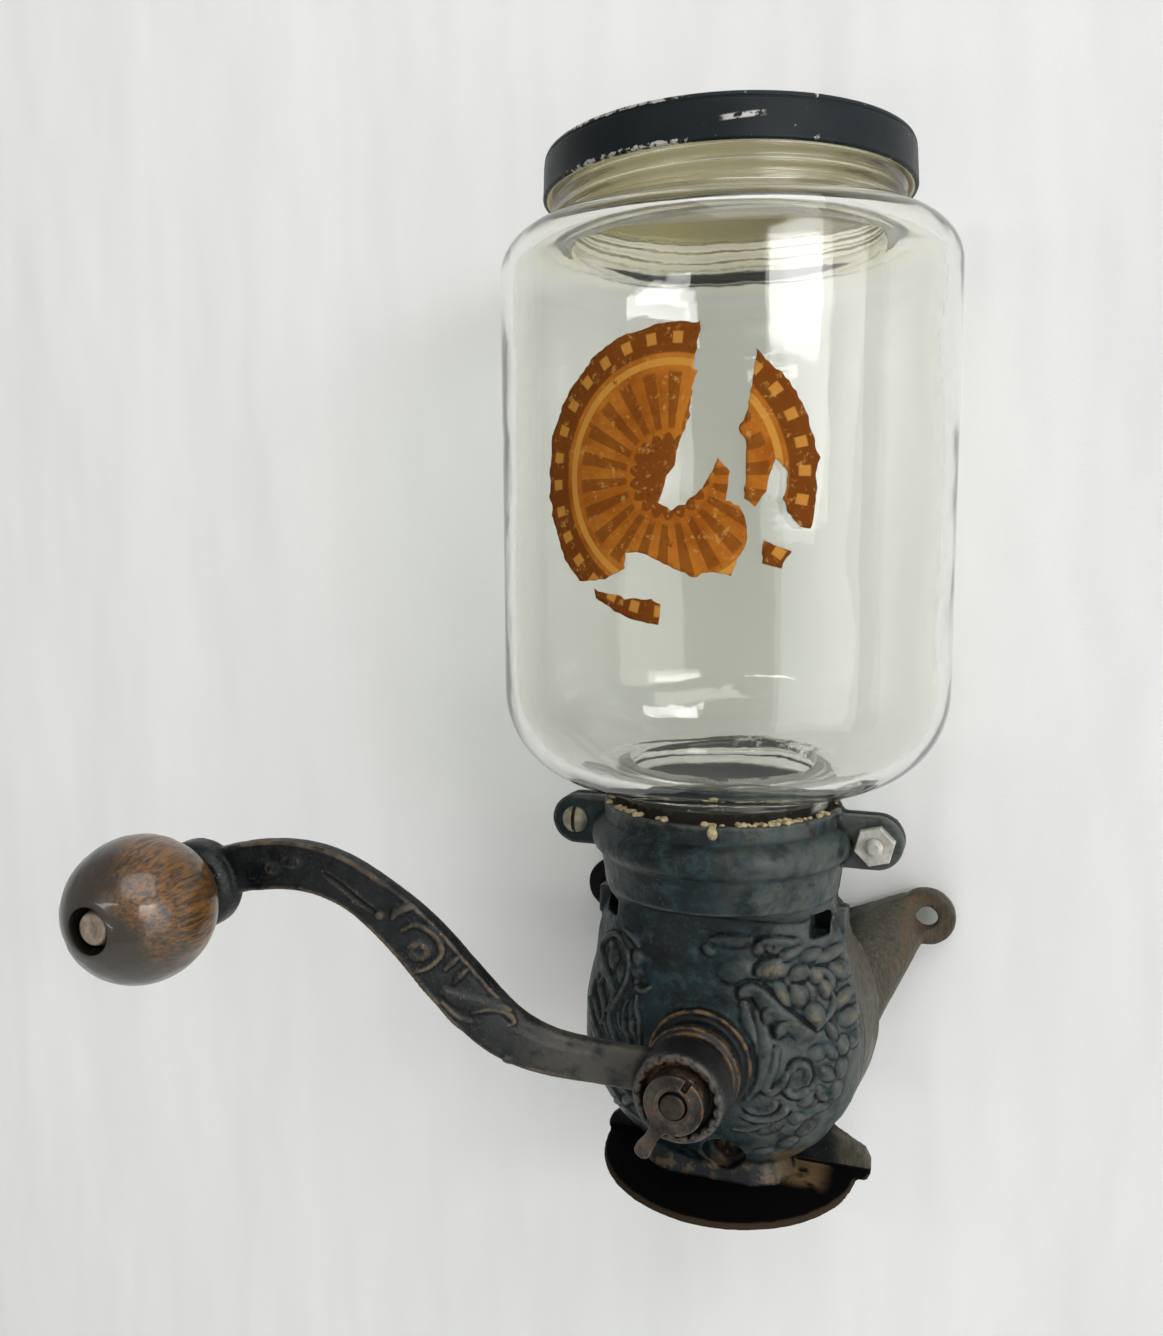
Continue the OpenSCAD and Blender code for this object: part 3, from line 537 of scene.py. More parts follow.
def back_iron():
    s, colour = iron_look("back_casting", (0.006, 0.008, 0.009), (0.022, 0.024, 0.023),
                          (0.10, 0.073, 0.046), 0.6)
    brushed = s.noise(0.9, 3, 0.5, s.stretched(1.0, 1.0, 0.25))
    ear = s.over(s.x, 30, 36)
    grey = s.mix(s.step(brushed, 0.25, 0.75), (0.052, 0.048, 0.036), (0.105, 0.096, 0.070))
    colour = s.mix(s.times(ear, 0.8), colour, grey)
    lobe = s.times(s.over(s.x, 42, 50), s.spots(0.40, 0.62, 5, 4, 0.6), s.step(s.value("edge"), 0.5, 0.0))
    colour = s.tint(colour, (0.125, 0.070, 0.035), lobe, 0.7)
    colour = s.mix(s.over(s.x, -28, -34), colour, (0.006, 0.006, 0.006))
    low = s.over(s.z, FLANGE_Z + 4.5, FLANGE_Z + 3.0)
    rubbed = s.times(s.step(s.value("edge"), 0.3, 0.8), 0.4)
    black = s.mix(rubbed, (0.001, 0.001, 0.0013), (0.085, 0.060, 0.036))
    tan = s.times(s.over(s.y, -72, -66), s.over(s.x, 14, 20), s.over(s.x, 33, 26), s.spots(0.3, 0.5, 5, 4))
    colour = s.mix(low, colour, s.mix(s.times(tan, 0.8), black, (0.19, 0.125, 0.062)))
    # painted shadow: a black line where the wing's lower edge meets the flange
    rise = s.math("ABSOLUTE", s.math("SUBTRACT", s.z, (FLANGE_Z + 3.2) * MM))
    back = s.math("ABSOLUTE", s.math("SUBTRACT", s.y, (FLANGE_Y - 0.1) * MM))
    colour = s.tint(colour, (0.001, 0.001, 0.001), s.over(rise, 1.1, 0.6), s.over(back, 1, 0.6))
    collar = s.over(s.z, COLLAR_TOP - 32, COLLAR_TOP - 26)
    slate = s.mix(brushed, (0.008, 0.013, 0.015), (0.026, 0.034, 0.036))
    colour = s.tint(colour, slate, collar, 0.85)
    s.set(Base_Color=colour, Roughness=s.blend(low, s.rough, 0.95), Specular_IOR_Level=0.06)
    return s.mat


def crank_iron():
    s, colour = iron_look("crank_casting", (0.0018, 0.0034, 0.004), (0.009, 0.012, 0.013),
                          (0.115, 0.083, 0.050), 0.9)
    # painted sheen: the arm near the hub lightened to grey-brown, for light falling on it from above
    painted_sheen_near_hub = s.over(s.x, -50, -24)
    colour = s.tint(colour, (0.070, 0.063, 0.049), painted_sheen_near_hub, s.spots(0.32, 0.56, 6, 4), 0.7)
    away, above = away_from(s, 0.0, SHAFT_Z)
    hub = s.over(away, HUB_R + 2.5, HUB_R + 0.6)
    colour = s.tint(colour, (0.0045, 0.0045, 0.005), hub, 0.9)
    front = s.over(s.y, HUB_FRONT + 1.6, HUB_FRONT + 0.4)
    rim = s.times(hub, front, s.spots(0.36, 0.58, 1.8, 4))
    colour = s.tint(colour, (0.105, 0.090, 0.072), rim, 0.75)
    inner = s.times(s.over(away, RECESS_R + 1.4, RECESS_R + 0.6), s.over(above, 1, 5))
    rust = s.times(inner, s.spots(0.38, 0.56, 2.2, 5, 0.7))
    colour = s.tint(colour, (0.105, 0.048, 0.020), rust, 0.85)
    s.set(Base_Color=colour)
    return s.mat


def bare_iron(name, dark, light, rusty, metal=0.75, rust=0.8):
    """Bare iron or steel, darkened with oil and lightly rusted."""
    s = Shade(name)
    mottle = s.noise(3, 5, 0.65)
    grain = s.noise(0.5, 3)
    colour = s.mix(s.step(mottle, 0.3, 0.7), dark, light)
    colour = s.mix(s.times(s.spots(0.5, 0.68, 2.2, 5, 0.7), rust), colour, rusty)
    s.set(Base_Color=colour, Metallic=metal, Roughness=s.blend(mottle, 0.32, 0.62))
    s.bump((grain, 0.04), (mottle, 0.06))
    return s.mat


def screw_look():
    """Dull yellowed zinc, with painted shade darkening the slot."""
    s = Shade("slotted_zinc")
    mottle = s.noise(2.5, 5, 0.65)
    colour = s.mix(s.step(mottle, 0.3, 0.7), (0.17, 0.155, 0.105), (0.34, 0.315, 0.225))
    across = s.math("ABSOLUTE", s.math("SUBTRACT", s.x, middle("left_clamp_screw", X) * MM))
    # painted shade: the slot darkened almost to black
    colour = s.mix(s.over(across, 0.62, 0.45), colour, (0.012, 0.010, 0.007))
    s.set(Base_Color=colour, Metallic=0.4, Roughness=s.blend(mottle, 0.35, 0.6))
    s.bump((mottle, 0.06))
    return s.mat


def glass_look():
    """Old pressed glass, faintly green and wavy, with an olive film at the neck, grounds on the floor, and a
    dark coat in the foot's throat that is partly grounds and partly painted shade.
    """
    s = Shade("jar_glass")
    radius = from_jar_axis(s)
    neck = s.over(s.z, SHOULDER_Z - 6, SHOULDER_Z + 1)
    stain = s.times(neck, s.spots(0.26, 0.52, 13, 5, 0.65))
    mouth_r = MOUTH_R - GLASS_T
    lip = s.times(s.over(radius, mouth_r + 3.0, mouth_r + 2.0),
                  s.over(s.z, SHOULDER_Z - 4.6, SHOULDER_Z - 4.0),
                  s.over(s.z, SHOULDER_Z + 0.6, SHOULDER_Z - 1.0))
    lip = s.times(lip, s.spots(0.40, 0.60, 9, 4, 0.6))
    throat_r = FOOT_R - GLASS_T
    # partly painted shade: the throat's inner wall made dark and opaque for the dark casting behind the
    # foot, together with caked grounds
    caked_and_shaded = s.times(s.over(s.y, JAR_Y - 3, JAR_Y - 9), s.over(s.z, BODY_Z + 3, BODY_Z + 2))
    caked_and_shaded = s.math("MAXIMUM", caked_and_shaded, s.over(s.z, COLLAR_TOP + 2.5, COLLAR_TOP + 0.5))
    throat = s.times(s.over(radius, throat_r + 1.0, throat_r + 0.5), caked_and_shaded)
    floor = s.times(s.over(s.z, BODY_Z + 1.5, BODY_Z + 2.5), s.over(radius, 33, 29),
                    s.over(s.x, -4, 4), s.over(s.x, 28, 20))
    grounds_and_shade = s.math("MAXIMUM", throat, s.times(floor, s.spots(0.42, 0.54, 9, 4, 0.6)))
    colour = s.mix(stain, (0.938, 0.939, 0.908), (0.985, 0.945, 0.765))
    colour = s.tint(colour, (0.82, 0.68, 0.42), lip, 0.8)
    colour = s.tint(colour, (0.009, 0.006, 0.003), grounds_and_shade)
    skin = s.blend(stain, 0.03, 0.16)
    s.set(Base_Color=colour, Roughness=s.blend(grounds_and_shade, skin, 0.9), IOR=1.47,
          Transmission_Weight=s.blend(grounds_and_shade, 1.0, 0.05))
    s.bump((s.noise(26, 2, 0.4), 0.35), (s.noise(4, 2), 0.015))
    s.see_through(s.add("ShaderNodeLightPath").outputs["Is Shadow Ray"], (0.71, 0.73, 0.69))
    return s.mat


def lid_look():
    """Satin blue-black paint on tin, chipped to bare metal at the left of its rims and scratched once."""
    s = Shade("lid_paint")
    paint = s.mix(s.spots(0.3, 0.7, 14, 5), (0.003, 0.0065, 0.008), (0.007, 0.0115, 0.0135))
    front = s.over(s.y, JAR_Y - 5, JAR_Y - 15)
    left = s.times(s.over(s.x, -36, -28), s.over(s.x, 6, -2), front)
    high = s.over(s.z, LID_TOP - 1.3, LID_TOP - 0.7)
    low = s.over(s.z, LID_LOW + 1.5, LID_LOW + 0.7)
    rim = s.math("MAXIMUM", high, low)
    chip = s.plus(s.noise(2.0, 5, 0.7), s.plus(s.times(rim, 0.07), s.times(rim, left, 0.15)))
    line = s.math("SUBTRACT", s.z, s.plus(s.times(s.x, 0.1), (LID_LOW + 3.6) * MM))
    scratch = s.times(s.over(s.math("ABSOLUTE", line), 0.8, 0.4), s.over(s.x, 9, 11), front)
    scratch = s.times(scratch, s.over(s.x, 19.5, 18), s.spots(0.40, 0.52, 1.6, 4))
    bare = s.math("MAXIMUM", s.step(chip, 0.70, 0.73), scratch)
    colour = s.mix(s.times(s.step(chip, 0.66, 0.70), 0.8), paint, (0.06, 0.042, 0.028))
    colour = s.tint(colour, (0.46, 0.45, 0.41), bare)
    radius = from_jar_axis(s)
    inner = s.times(s.over(radius, LID_R - 1.3, LID_R - 1.6),
                    s.over(s.z, LID_TOP - 0.7, LID_TOP - 0.9))
    colour = s.tint(colour, (0.78, 0.73, 0.55), inner)
    s.set(Base_Color=colour, Metallic=s.times(bare, 0.3), Roughness=s.blend(s.noise(5), 0.38, 0.50))
    s.set(Specular_IOR_Level=0.2)
    s.bump((s.noise(1.2, 3), 0.02), (bare, -0.05))
    return s.mat


def wood_look():
    """Dark varnished turned wood, rubbed to amber streaks on the side toward the arm."""
    s = Shade("knob_wood")
    centre = KNOB_FRONT + KNOB_R
    away, above = away_from(s, KNOB_X, KNOB_Z)
    inward = s.times(s.math("SUBTRACT", s.x, KNOB_X * MM), 0.93)
    rearward = s.times(s.math("SUBTRACT", s.y, centre * MM), 0.36)
    toward = s.plus(s.plus(inward, rearward), s.times(above, 0.55))
    grain = s.noise(0.8, 4, 0.6, s.stretched(1.0, 0.10, 1.0), 0.4)
    patch = s.noise(8, 4, 0.6)
    colour = s.mix(grain, (0.017, 0.013, 0.008), (0.040, 0.031, 0.021))
    uneven = s.plus(toward, s.times(s.math("SUBTRACT", patch, 0.5), 0.020))
    rubbed = s.times(s.over(uneven, 1, 13), s.over(uneven, 26, 18), s.step(grain, 0.34, 0.66))
    colour = s.tint(colour, (0.20, 0.082, 0.013), rubbed, 0.9)
    # painted shade: the countersink round the rivet darkened almost to black
    colour = s.mix(s.over(away, SINK_R + 0.35, SINK_R + 0.05), colour, (0.004, 0.003, 0.002))
    s.set(Base_Color=colour, Roughness=s.blend(patch, 0.26, 0.40), Coat_Weight=0.4, Coat_Roughness=0.06)
    s.bump((grain, 0.03), (s.noise(2.5, 3), 0.03))
    return s.mat


def cement_look():
    """Old cement: black down in the gap, pale where it has crumbled over the collar's rim."""
    s = Shade("cement")
    crumb = s.noise(1.4, 5, 0.7)
    pale = s.mix(s.step(crumb, 0.3, 0.7), (0.20, 0.145, 0.062), (0.56, 0.46, 0.30))
    shown = s.over(s.z, COLLAR_TOP - 0.7, COLLAR_TOP - 0.4)
    over = s.over(s.y, JAR_Y - COLLAR_R + 0.4, JAR_Y - COLLAR_R + 0.1)
    s.set(Base_Color=s.mix(s.math("MAXIMUM", shown, over), (0.018, 0.013, 0.008), pale), Roughness=0.92)
    s.bump((crumb, 0.35))
    return s.mat


def label_look():
    """Aged brown paper with a generic print: a dotted border, rings and rays, rubbed and stained."""
    s = Shade("label_paper")
    parts = s.add("ShaderNodeSeparateXYZ")
    s.link(s.add("ShaderNodeUVMap", uv_map="print").outputs[0], parts.inputs[0])
    across = s.math("SUBTRACT", parts.outputs[0], 0.5)
    up = s.math("SUBTRACT", parts.outputs[1], 0.5)
    radius = s.math("SQRT", s.plus(s.times(across, across), s.times(up, up)))
    radius = s.times(radius, 2.0)
    turn = s.math("ARCTAN2", up, across)

    def waves(count, shift=0.0):
        return s.math("SINE", s.plus(s.times(turn, float(count)), shift))

    def ring(at, width):
        return s.step(s.math("ABSOLUTE", s.math("SUBTRACT", radius, at)), width, 0.7 * width)

    stain = s.noise(11, 5, 0.65)
    paper = s.mix(s.step(stain, 0.3, 0.7), (0.24, 0.064, 0.005), (0.40, 0.138, 0.016))
    rays = s.times(s.step(waves(22), -0.1, 0.15), s.step(radius, 0.70, 0.67), s.step(radius, 0.30, 0.33))
    border = s.step(radius, 0.80, 0.815)
    dots = s.times(s.step(waves(30, 0.6), 0.25, 0.55), ring(0.905, 0.045))
    scallops = s.step(s.math("SUBTRACT", radius, s.times(s.math("ABSOLUTE", waves(9)), 0.05)), 0.245, 0.235)
    brown = (0.115, 0.030, 0.004)
    colour = s.mix(s.times(rays, 0.62), paper, brown)
    colour = s.mix(s.times(border, 0.85), colour, brown)
    colour = s.tint(colour, (0.47, 0.22, 0.038), ring(0.75, 0.028), 0.9)
    colour = s.tint(colour, (0.45, 0.20, 0.034), dots, 0.9)
    colour = s.tint(colour, (0.145, 0.038, 0.005), scallops, 0.85)
    rubbed = s.spots(0.56, 0.66, 2.2, 5, 0.75)
    colour = s.tint(colour, (0.48, 0.26, 0.07), rubbed, 0.6)
    colour = s.tint(colour, (0.05, 0.018, 0.005), s.spots(0.62, 0.72, 4, 5, 0.7), 0.7)
    s.set(Base_Color=colour, Roughness=0.85, Specular_IOR_Level=0.06)
    s.bump((s.noise(1.5, 4), 0.08), (s.noise(9, 3), 0.25))
    return s.mat


def card_look():
    s = Shade("card")
    fibre = s.noise(1.2, 5, 0.7)
    colour = s.mix(fibre, (0.68, 0.63, 0.47), (0.84, 0.79, 0.62))
    s.set(Base_Color=colour, Roughness=0.9)
    s.bump((fibre, 0.08))
    return s.mat


# Front casting with its relief

# Relief on the dome, placed in mm right of and above the shaft.
# A leaflet is (x, z, half width, half length, lean in degrees, height).
LEAFLETS = [
    (18.2, 25.5, 2.2, 3.4, 79, 1.3), (25.0, 24.5, 1.9, 2.1, 65, 1.2), (28.9, 23.6, 1.4, 2.1, -26, 1.2),
    (31.1, 20.0, 1.2, 2.5, -17, 1.2), (20.8, 19.0, 1.6, 3.6, -26, 1.1), (24.9, 18.8, 2.0, 2.8, -14, 1.3),
    (29.0, 13.2, 2.0, 3.0, -26, 1.3), (34.0, 23.6, 1.6, 2.8, -40, 1.1), (35.1, 16.0, 1.5, 2.6, 40, 1.2),
    (37.6, 18.6, 0.9, 2.4, -8, 0.9), (37.0, 10.9, 2.0, 1.8, 66, 1.1), (33.1, 8.6, 0.9, 2.5, -24, 1.0),
    (36.1, 4.0, 1.2, 2.3, -6, 1.0), (38.6, 4.6, 0.9, 1.8, 7, 0.8), (29.9, 3.2, 1.6, 1.9, 62, 0.8),
    (33.3, 2.9, 1.1, 2.1, -33, 0.8), (32.2, -3.0, 1.4, 2.1, -32, 0.9), (31.6, 28.2, 1.5, 2.6, 70, 1.0),
    (27.4, 29.0, 1.4, 2.2, 80, 0.9), (14.6, 30.8, 1.4, 1.6, 27, 0.9), (16.8, 31.6, 1.0, 1.3, -10, 0.7),
    (8.4, 24.7, 2.7, 4.1, 73, 1.1), (7.0, 32.4, 1.6, 5.2, 84, 0.9), (1.1, 29.3, 1.3, 1.8, -52, 0.7),
    (22.3, 29.6, 1.2, 3.0, 66, 0.8), (35.8, -2.0, 1.1, 2.2, 8, 0.8), (34.3, -8.6, 1.1, 2.4, 20, 0.8),
    (31.2, -9.0, 1.1, 2.2, -20, 0.8), (17.8, -18.6, 1.6, 2.9, 61, 0.8), (24.8, -15.9, 1.5, 1.9, 81, 0.8),
    (27.4, -9.9, 1.5, 2.2, 26, 0.8), (30.4, -13.3, 1.1, 1.9, 54, 0.7), (15.7, -10.4, 1.7, 3.9, 75, 0.7),
    (27.0, -20.0, 1.2, 2.6, 44, 0.8), (22.0, -24.6, 1.2, 2.6, 56, 0.8), (15.6, -28.2, 1.2, 2.6, 68, 0.8),
    (-27.5, 21.9, 1.5, 3.0, 1, 0.9), (-24.4, 18.6, 1.2, 2.6, -2, 0.8), (-18.9, 24.0, 1.7, 2.2, 0, 1.0),
    (-19.2, 20.2, 1.7, 2.1, -15, 1.0), (-19.0, 17.8, 1.0, 1.3, 37, 0.8), (-28.3, 25.2, 1.2, 1.4, 13, 0.6),
    (-22.8, 27.8, 0.9, 2.2, -46, 0.7), (-20.7, 9.3, 1.1, 2.8, 3, 0.8), (-20.3, 5.0, 1.1, 2.2, -12, 0.8),
    (-23.8, 5.0, 1.0, 2.6, -16, 0.7), (-28.8, 3.0, 1.0, 2.6, -12, 0.7), (-34.6, 1.0, 1.2, 3.4, 2, 0.8),
    (-31.6, -5.4, 1.3, 3.6, 14, 0.9), (-26.8, -3.6, 1.3, 3.6, 6, 0.9), (-35.0, -8.8, 1.0, 3.0, 16, 0.8),
    (-28.0, -12.4, 1.4, 3.8, 30, 0.9), (-22.0, -8.6, 1.3, 3.4, 16, 0.9), (-32.2, -16.0, 1.0, 2.8, 30, 0.8),
    (-22.4, -18.4, 1.4, 3.8, 46, 0.9), (-16.6, -13.6, 1.3, 3.2, 40, 0.8), (-27.2, -22.4, 1.0, 2.8, 48, 0.8),
    (-14.4, -23.4, 1.4, 3.6, 64, 0.9), (-8.6, -18.6, 1.2, 2.8, 62, 0.8), (-6.4, -26.2, 1.2, 3.0, 80, 0.8),
]
LEAFLET_SPREAD = 1.28
# A crest is (points, height, fade): it drops sharply on its left and fades on its right.
CRESTS = [
    ([(10.3, 16.6), (10.0, 19.3), (10.8, 20.9), (12.8, 21.6), (15.2, 21.0), (17.3, 19.3), (19.8, 16.8),
      (22.5, 14.5), (25.2, 12.1)], 2.1, 6.5),
    ([(17.6, 10.4), (16.3, 13.0), (16.3, 14.7), (17.9, 15.8), (20.2, 15.6), (22.8, 14.0), (25.4, 11.9),
      (28.3, 9.4)], 2.1, 5.0),
    ([(20.5, 7.0), (19.5, 9.8), (20.4, 11.6), (22.6, 12.2), (25.2, 11.4), (27.8, 9.7), (29.8, 7.3)],
      2.0, 5.0),
    ([(13.0, 31.2), (15.2, 33.2), (18.4, 33.9), (21.5, 33.6), (25.0, 32.4)], 0.8, 2.6),
    ([(14.6, 23.0), (14.4, 25.8), (16.2, 27.6), (18.8, 28.2), (21.0, 27.0)], 0.9, 2.2),
    ([(28.4, 25.6), (30.9, 24.6), (32.9, 21.6), (32.8, 18.0)], 0.9, 2.0),
    ([(35.4, 18.7), (37.4, 16.4), (37.7, 13.8)], 0.8, 1.8),
    ([(22.7, -2.4), (24.3, 0.6), (26.6, 0.8), (28.0, -0.8), (28.3, -3.2), (27.3, -5.3), (25.3, -5.9)],
      0.9, 1.8),
    ([(28.6, -6.4), (25.9, -8.9), (23.2, -8.6), (21.3, -6.0)], 0.9, 2.2),
    ([(20.6, -10.0), (18.9, -12.6), (15.9, -13.8), (13.0, -13.4), (10.4, -11.2)], 1.0, 3.0),
    ([(23.6, -11.8), (20.8, -14.8), (17.3, -16.2), (13.2, -16.0), (9.6, -14.6)], 1.0, 2.4),
    ([(31.0, -12.6), (27.2, -15.6), (23.6, -15.8)], 0.8, 2.0),
    ([(-19.8, 16.6), (-18.2, 15.7), (-16.4, 16.1), (-14.1, 17.8)], 1.0, 1.4),
]
# A rib is (points, half width, height): a round cord, thinner to its ends.
RIBS = [
    ([(11.1, 16.2), (12.2, 11.9), (13.2, 7.5), (13.1, 2.9), (12.2, -2.4), (10.4, -7.6)], 1.9, 0.9),
    ([(14.6, 14.0), (16.3, 9.2), (17.0, 4.6), (16.6, -0.1), (14.9, -5.7), (12.6, -9.4)], 1.8, 0.9),
    ([(19.8, 4.4), (19.2, 0.0), (17.8, -4.0), (17.2, -6.4), (18.8, -7.4), (21.2, -5.2), (22.6, -2.1)],
      1.3, 0.9),
    ([(29.7, 9.6), (31.6, 11.8), (33.0, 13.7), (33.3, 16.3), (32.5, 19.1)], 0.7, 0.7),
    ([(8.4, -19.6), (12.4, -19.4), (15.5, -17.9), (19.0, -16.3)], 0.8, 0.7),
    ([(-28.0, 28.2), (-31.6, 25.0), (-32.4, 22.0), (-30.6, 19.4), (-28.6, 16.6), (-26.7, 13.8),
      (-25.8, 10.4), (-23.7, 13.8), (-21.9, 18.0), (-21.5, 21.9), (-22.5, 25.4), (-25.0, 28.0),
      (-28.0, 28.2)], 0.75, 1.1),
    ([(-30.5, 15.8), (-31.8, 12.3), (-30.4, 8.7), (-28.5, 6.9), (-26.6, 11.0), (-27.6, 14.1),
      (-29.3, 15.9), (-30.5, 15.8)], 0.65, 1.0),
    ([(-33.4, 14.2), (-34.6, 10.0), (-33.0, 5.6), (-30.3, 2.8), (-29.5, 6.9), (-31.2, 11.2),
      (-33.4, 14.2)], 0.65, 1.0),
    ([(-36.0, 7.2), (-34.2, 2.6), (-32.0, -0.6), (-30.0, -3.4)], 0.6, 0.9),
    ([(-25.7, 10.2), (-27.5, 6.4), (-27.0, 2.2), (-25.0, -1.4), (-24.4, -5.4)], 0.65, 0.9),
    ([(-21.9, 11.8), (-22.8, 8.0), (-22.2, 3.6), (-20.6, -0.4), (-19.6, -4.6)], 0.65, 0.9),
    ([(-19.0, 13.8), (-19.1, 10.2), (-18.2, 6.6), (-17.6, 2.0), (-17.2, -3.0)], 0.65, 0.9),
    ([(-23.9, 30.9), (-20.3, 29.4), (-18.4, 27.4)], 0.9, 0.9),
    ([(-24.4, -5.4), (-25.0, -9.6), (-23.4, -14.2), (-19.4, -18.0)], 0.65, 0.9),
    ([(-19.6, -4.6), (-19.2, -9.2), (-16.0, -13.0)], 0.65, 0.8),
    ([(-30.0, -3.4), (-31.0, -9.6), (-28.6, -16.2), (-23.4, -22.0), (-16.6, -26.0)], 0.65, 0.9),
]
HOLLOWS = [(20.0, 22.6, 1.7, 0.5), (25.4, 21.9, 1.2, 0.4), (-15.4, 23.5, 1.2, 0.6), (-1.4, 28.6, 1.5, 0.6),
           (28.8, -9.4, 1.0, 0.5), (8.6, 20.0, 1.6, 0.4), (-25.6, 22.6, 1.0, 0.4)]


def curve(points, steps=6):
    """A smooth line through points, closed if it ends where it starts."""
    line = np.array(points, float)
    closed = bool(np.allclose(line[0], line[-1]))
    before = line[-2] if closed else 2 * line[0] - line[1]
    after = line[1] if closed else 2 * line[-1] - line[-2]
    knots = np.vstack([before, line, after])
    t = np.linspace(0, 1, steps, endpoint=False)[:, None]
    runs = []
    for p, q, r, s in zip(knots[:-3], knots[1:-2], knots[2:-1], knots[3:]):
        runs.append(0.5 * (2 * q + (r - p) * t + (2 * p - 5 * q + 4 * r - s) * t ** 2
                           + (3 * q - p - 3 * r + s) * t ** 3))
    return np.vstack(runs + [line[-1:]]), closed


def near_line(x, z, line, reach):
    """The points within reach of a line: which, how far off, what share along it and on which side."""
    low = line.min(axis=0) - reach
    high = line.max(axis=0) + reach
    which = np.flatnonzero((x > low[0]) & (x < high[0]) & (z > low[1]) & (z < high[1]))
    px, pz = x[which], z[which]
    best = np.full(len(which), 1e9)
    share = np.zeros(len(which))
    side = np.zeros(len(which))
    for i, (a, b) in enumerate(zip(line[:-1], line[1:])):
        step = b - a
        t = np.clip(((px - a[0]) * step[0] + (pz - a[1]) * step[1]) / (step @ step), 0, 1)
        off_x = px - a[0] - t * step[0]
        off_z = pz - a[1] - t * step[1]
        gap = np.hypot(off_x, off_z)
        nearer = gap < best
        best = np.where(nearer, gap, best)
        share = np.where(nearer, (i + t) / (len(line) - 1), share)
        side = np.where(nearer, np.sign(off_x * step[1] - off_z * step[0]), side)
    return which, best, share, side


def leaflet_height(x, z, leaf):
    """Height of one rounded leaflet and of the moat round it."""
    at_x, at_z, wide, long, lean, height = leaf
    c = math.cos(math.radians(lean))
    s = math.sin(math.radians(lean))
    u = ((x - at_x) * c - (z - at_z) * s) / (wide * LEAFLET_SPREAD)
    v = ((x - at_x) * s + (z - at_z) * c) / (long * LEAFLET_SPREAD)
    away = np.hypot(u, v)
    return height * np.clip(1 - away * away, 0, 1) ** 0.95, np.exp(-((away - 1.15) / 0.25) ** 2)


def rib_height(x, z, rib):
    """Height of a round rib along a smooth line, thinner to its ends."""
    points, half_width, height = rib
    line, closed = curve(points)
    which, gap, share, _ = near_line(x, z, line, 2 * half_width)
    width = half_width * (1.0 if closed else 0.35 + 0.8 * np.sin(math.pi * (0.12 + 0.8 * share)))
    out = np.zeros(x.shape)
    out[which] = height * np.clip(1 - (gap / width) ** 2, 0, 1) ** 0.7
    return out


def crest_height(x, z, crest):
    """Height of a lobe under its crest, and of the crease outside it."""
    points, height, fade = crest
    line, _ = curve(points)
    which, gap, share, side = near_line(x, z, line, fade)
    ends = smooth(share, 0.0, 0.12) * smooth(share, 1.0, 0.8)
    within = 1 - smooth(gap, 0.15 * fade, fade)
    beyond = 1 - smooth(gap, 0.0, 0.55)
    high = np.zeros(x.shape)
    low = np.zeros(x.shape)
    high[which] = height * ends * np.where(side > 0, within, beyond)
    low[which] = ends * np.where(side > 0, 0, np.exp(-((gap - 1.1) / 0.6) ** 2))
    return high, low


def dome_relief(x, z):
    """Height of the dome's ornament, and how much each place belongs to a leaflet's top."""
    total = np.zeros(x.shape)
    crease = np.zeros(x.shape)
    tops = np.zeros(x.shape)
    for leaf in LEAFLETS:
        high, moat = leaflet_height(x, z, leaf)
        total += high ** 4
        crease = np.maximum(crease, 0.45 * moat)
        tops = np.maximum(tops, high)
    for rib in RIBS:
        total += rib_height(x, z, rib) ** 4
    for crest in CRESTS:
        high, low = crest_height(x, z, crest)
        total += high ** 4
        crease = np.maximum(crease, low)
    height = total ** 0.25
    height -= 0.5 * crease * smooth(height, 0.8, 0.1)
    for at_x, at_z, radius, depth in HOLLOWS:
        height -= depth * np.exp(-((x - at_x) ** 2 + (z - at_z) ** 2) / radius ** 2)
    return height, tops


def front_casting():
    mesh = skinned(node_mesh("front_housing"), 0.45, 5)
    points = points_of(mesh)
    normals = normals_of(mesh)
    x = points[:, X]
    z = points[:, Z] - SHAFT_Z
    deep = SEAM_Y - points[:, Y]
    outward = np.stack([x, -deep * (DRUM_R / DOME_DEPTH) ** 2, z], axis=1)
    outward /= np.linalg.norm(outward, axis=1)[:, None]
    shell = np.sqrt((np.hypot(x, z) / DRUM_R) ** 2 + (deep / DOME_DEPTH) ** 2)
    mask = smooth((normals * outward).sum(axis=1), 0.3, 0.7) * smooth(shell, 0.86, 0.92)
    mask *= smooth(np.hypot(x, z), 14.5, 15.8) * smooth(deep, 0.6, 2.2)
    mask *= smooth(z, 36.0, 33.0) * smooth(z, -31.0, -27.0)
    mask *= smooth(np.hypot(x - LOWER_X, points[:, Z] - LOWER_Z), 6.4, 8.0)
    height, tops = np.zeros(len(points)), np.zeros(len(points))
    shown = mask > 0
    height[shown], tops[shown] = dome_relief(x[shown], z[shown])
    plain = 0.45 * lumps(points, 9.0) + 0.25 * lumps(points, 4.5)
    height = (height + plain) * mask + 0.06 * lumps(points, 4.0) + 0.05 * lumps(points, 1.7)
    set_points(mesh, points + normals * height[:, None])
    mark_edges(mesh, 6, 0.2)
    keep_value(mesh, "tops", tops * mask * smooth(x, 8.0, 17.0) * smooth(z, -8.0, 4.0))
    piece("front_casting", mesh, front_iron(), "housing", ["front_housing"])


def back_casting():
    mesh = skinned(node_mesh("back_housing"), 0.75, 4)
    points = points_of(mesh)
    bumpy = 0.08 * lumps(points, 6.0) + 0.05 * lumps(points, 2.2)
    set_points(mesh, points + normals_of(mesh) * bumpy[:, None])
    mark_edges(mesh, 5, 0.2)
    piece("back_casting", mesh, back_iron(), "housing", ["back_housing"])


# Jar, lid, label and cement

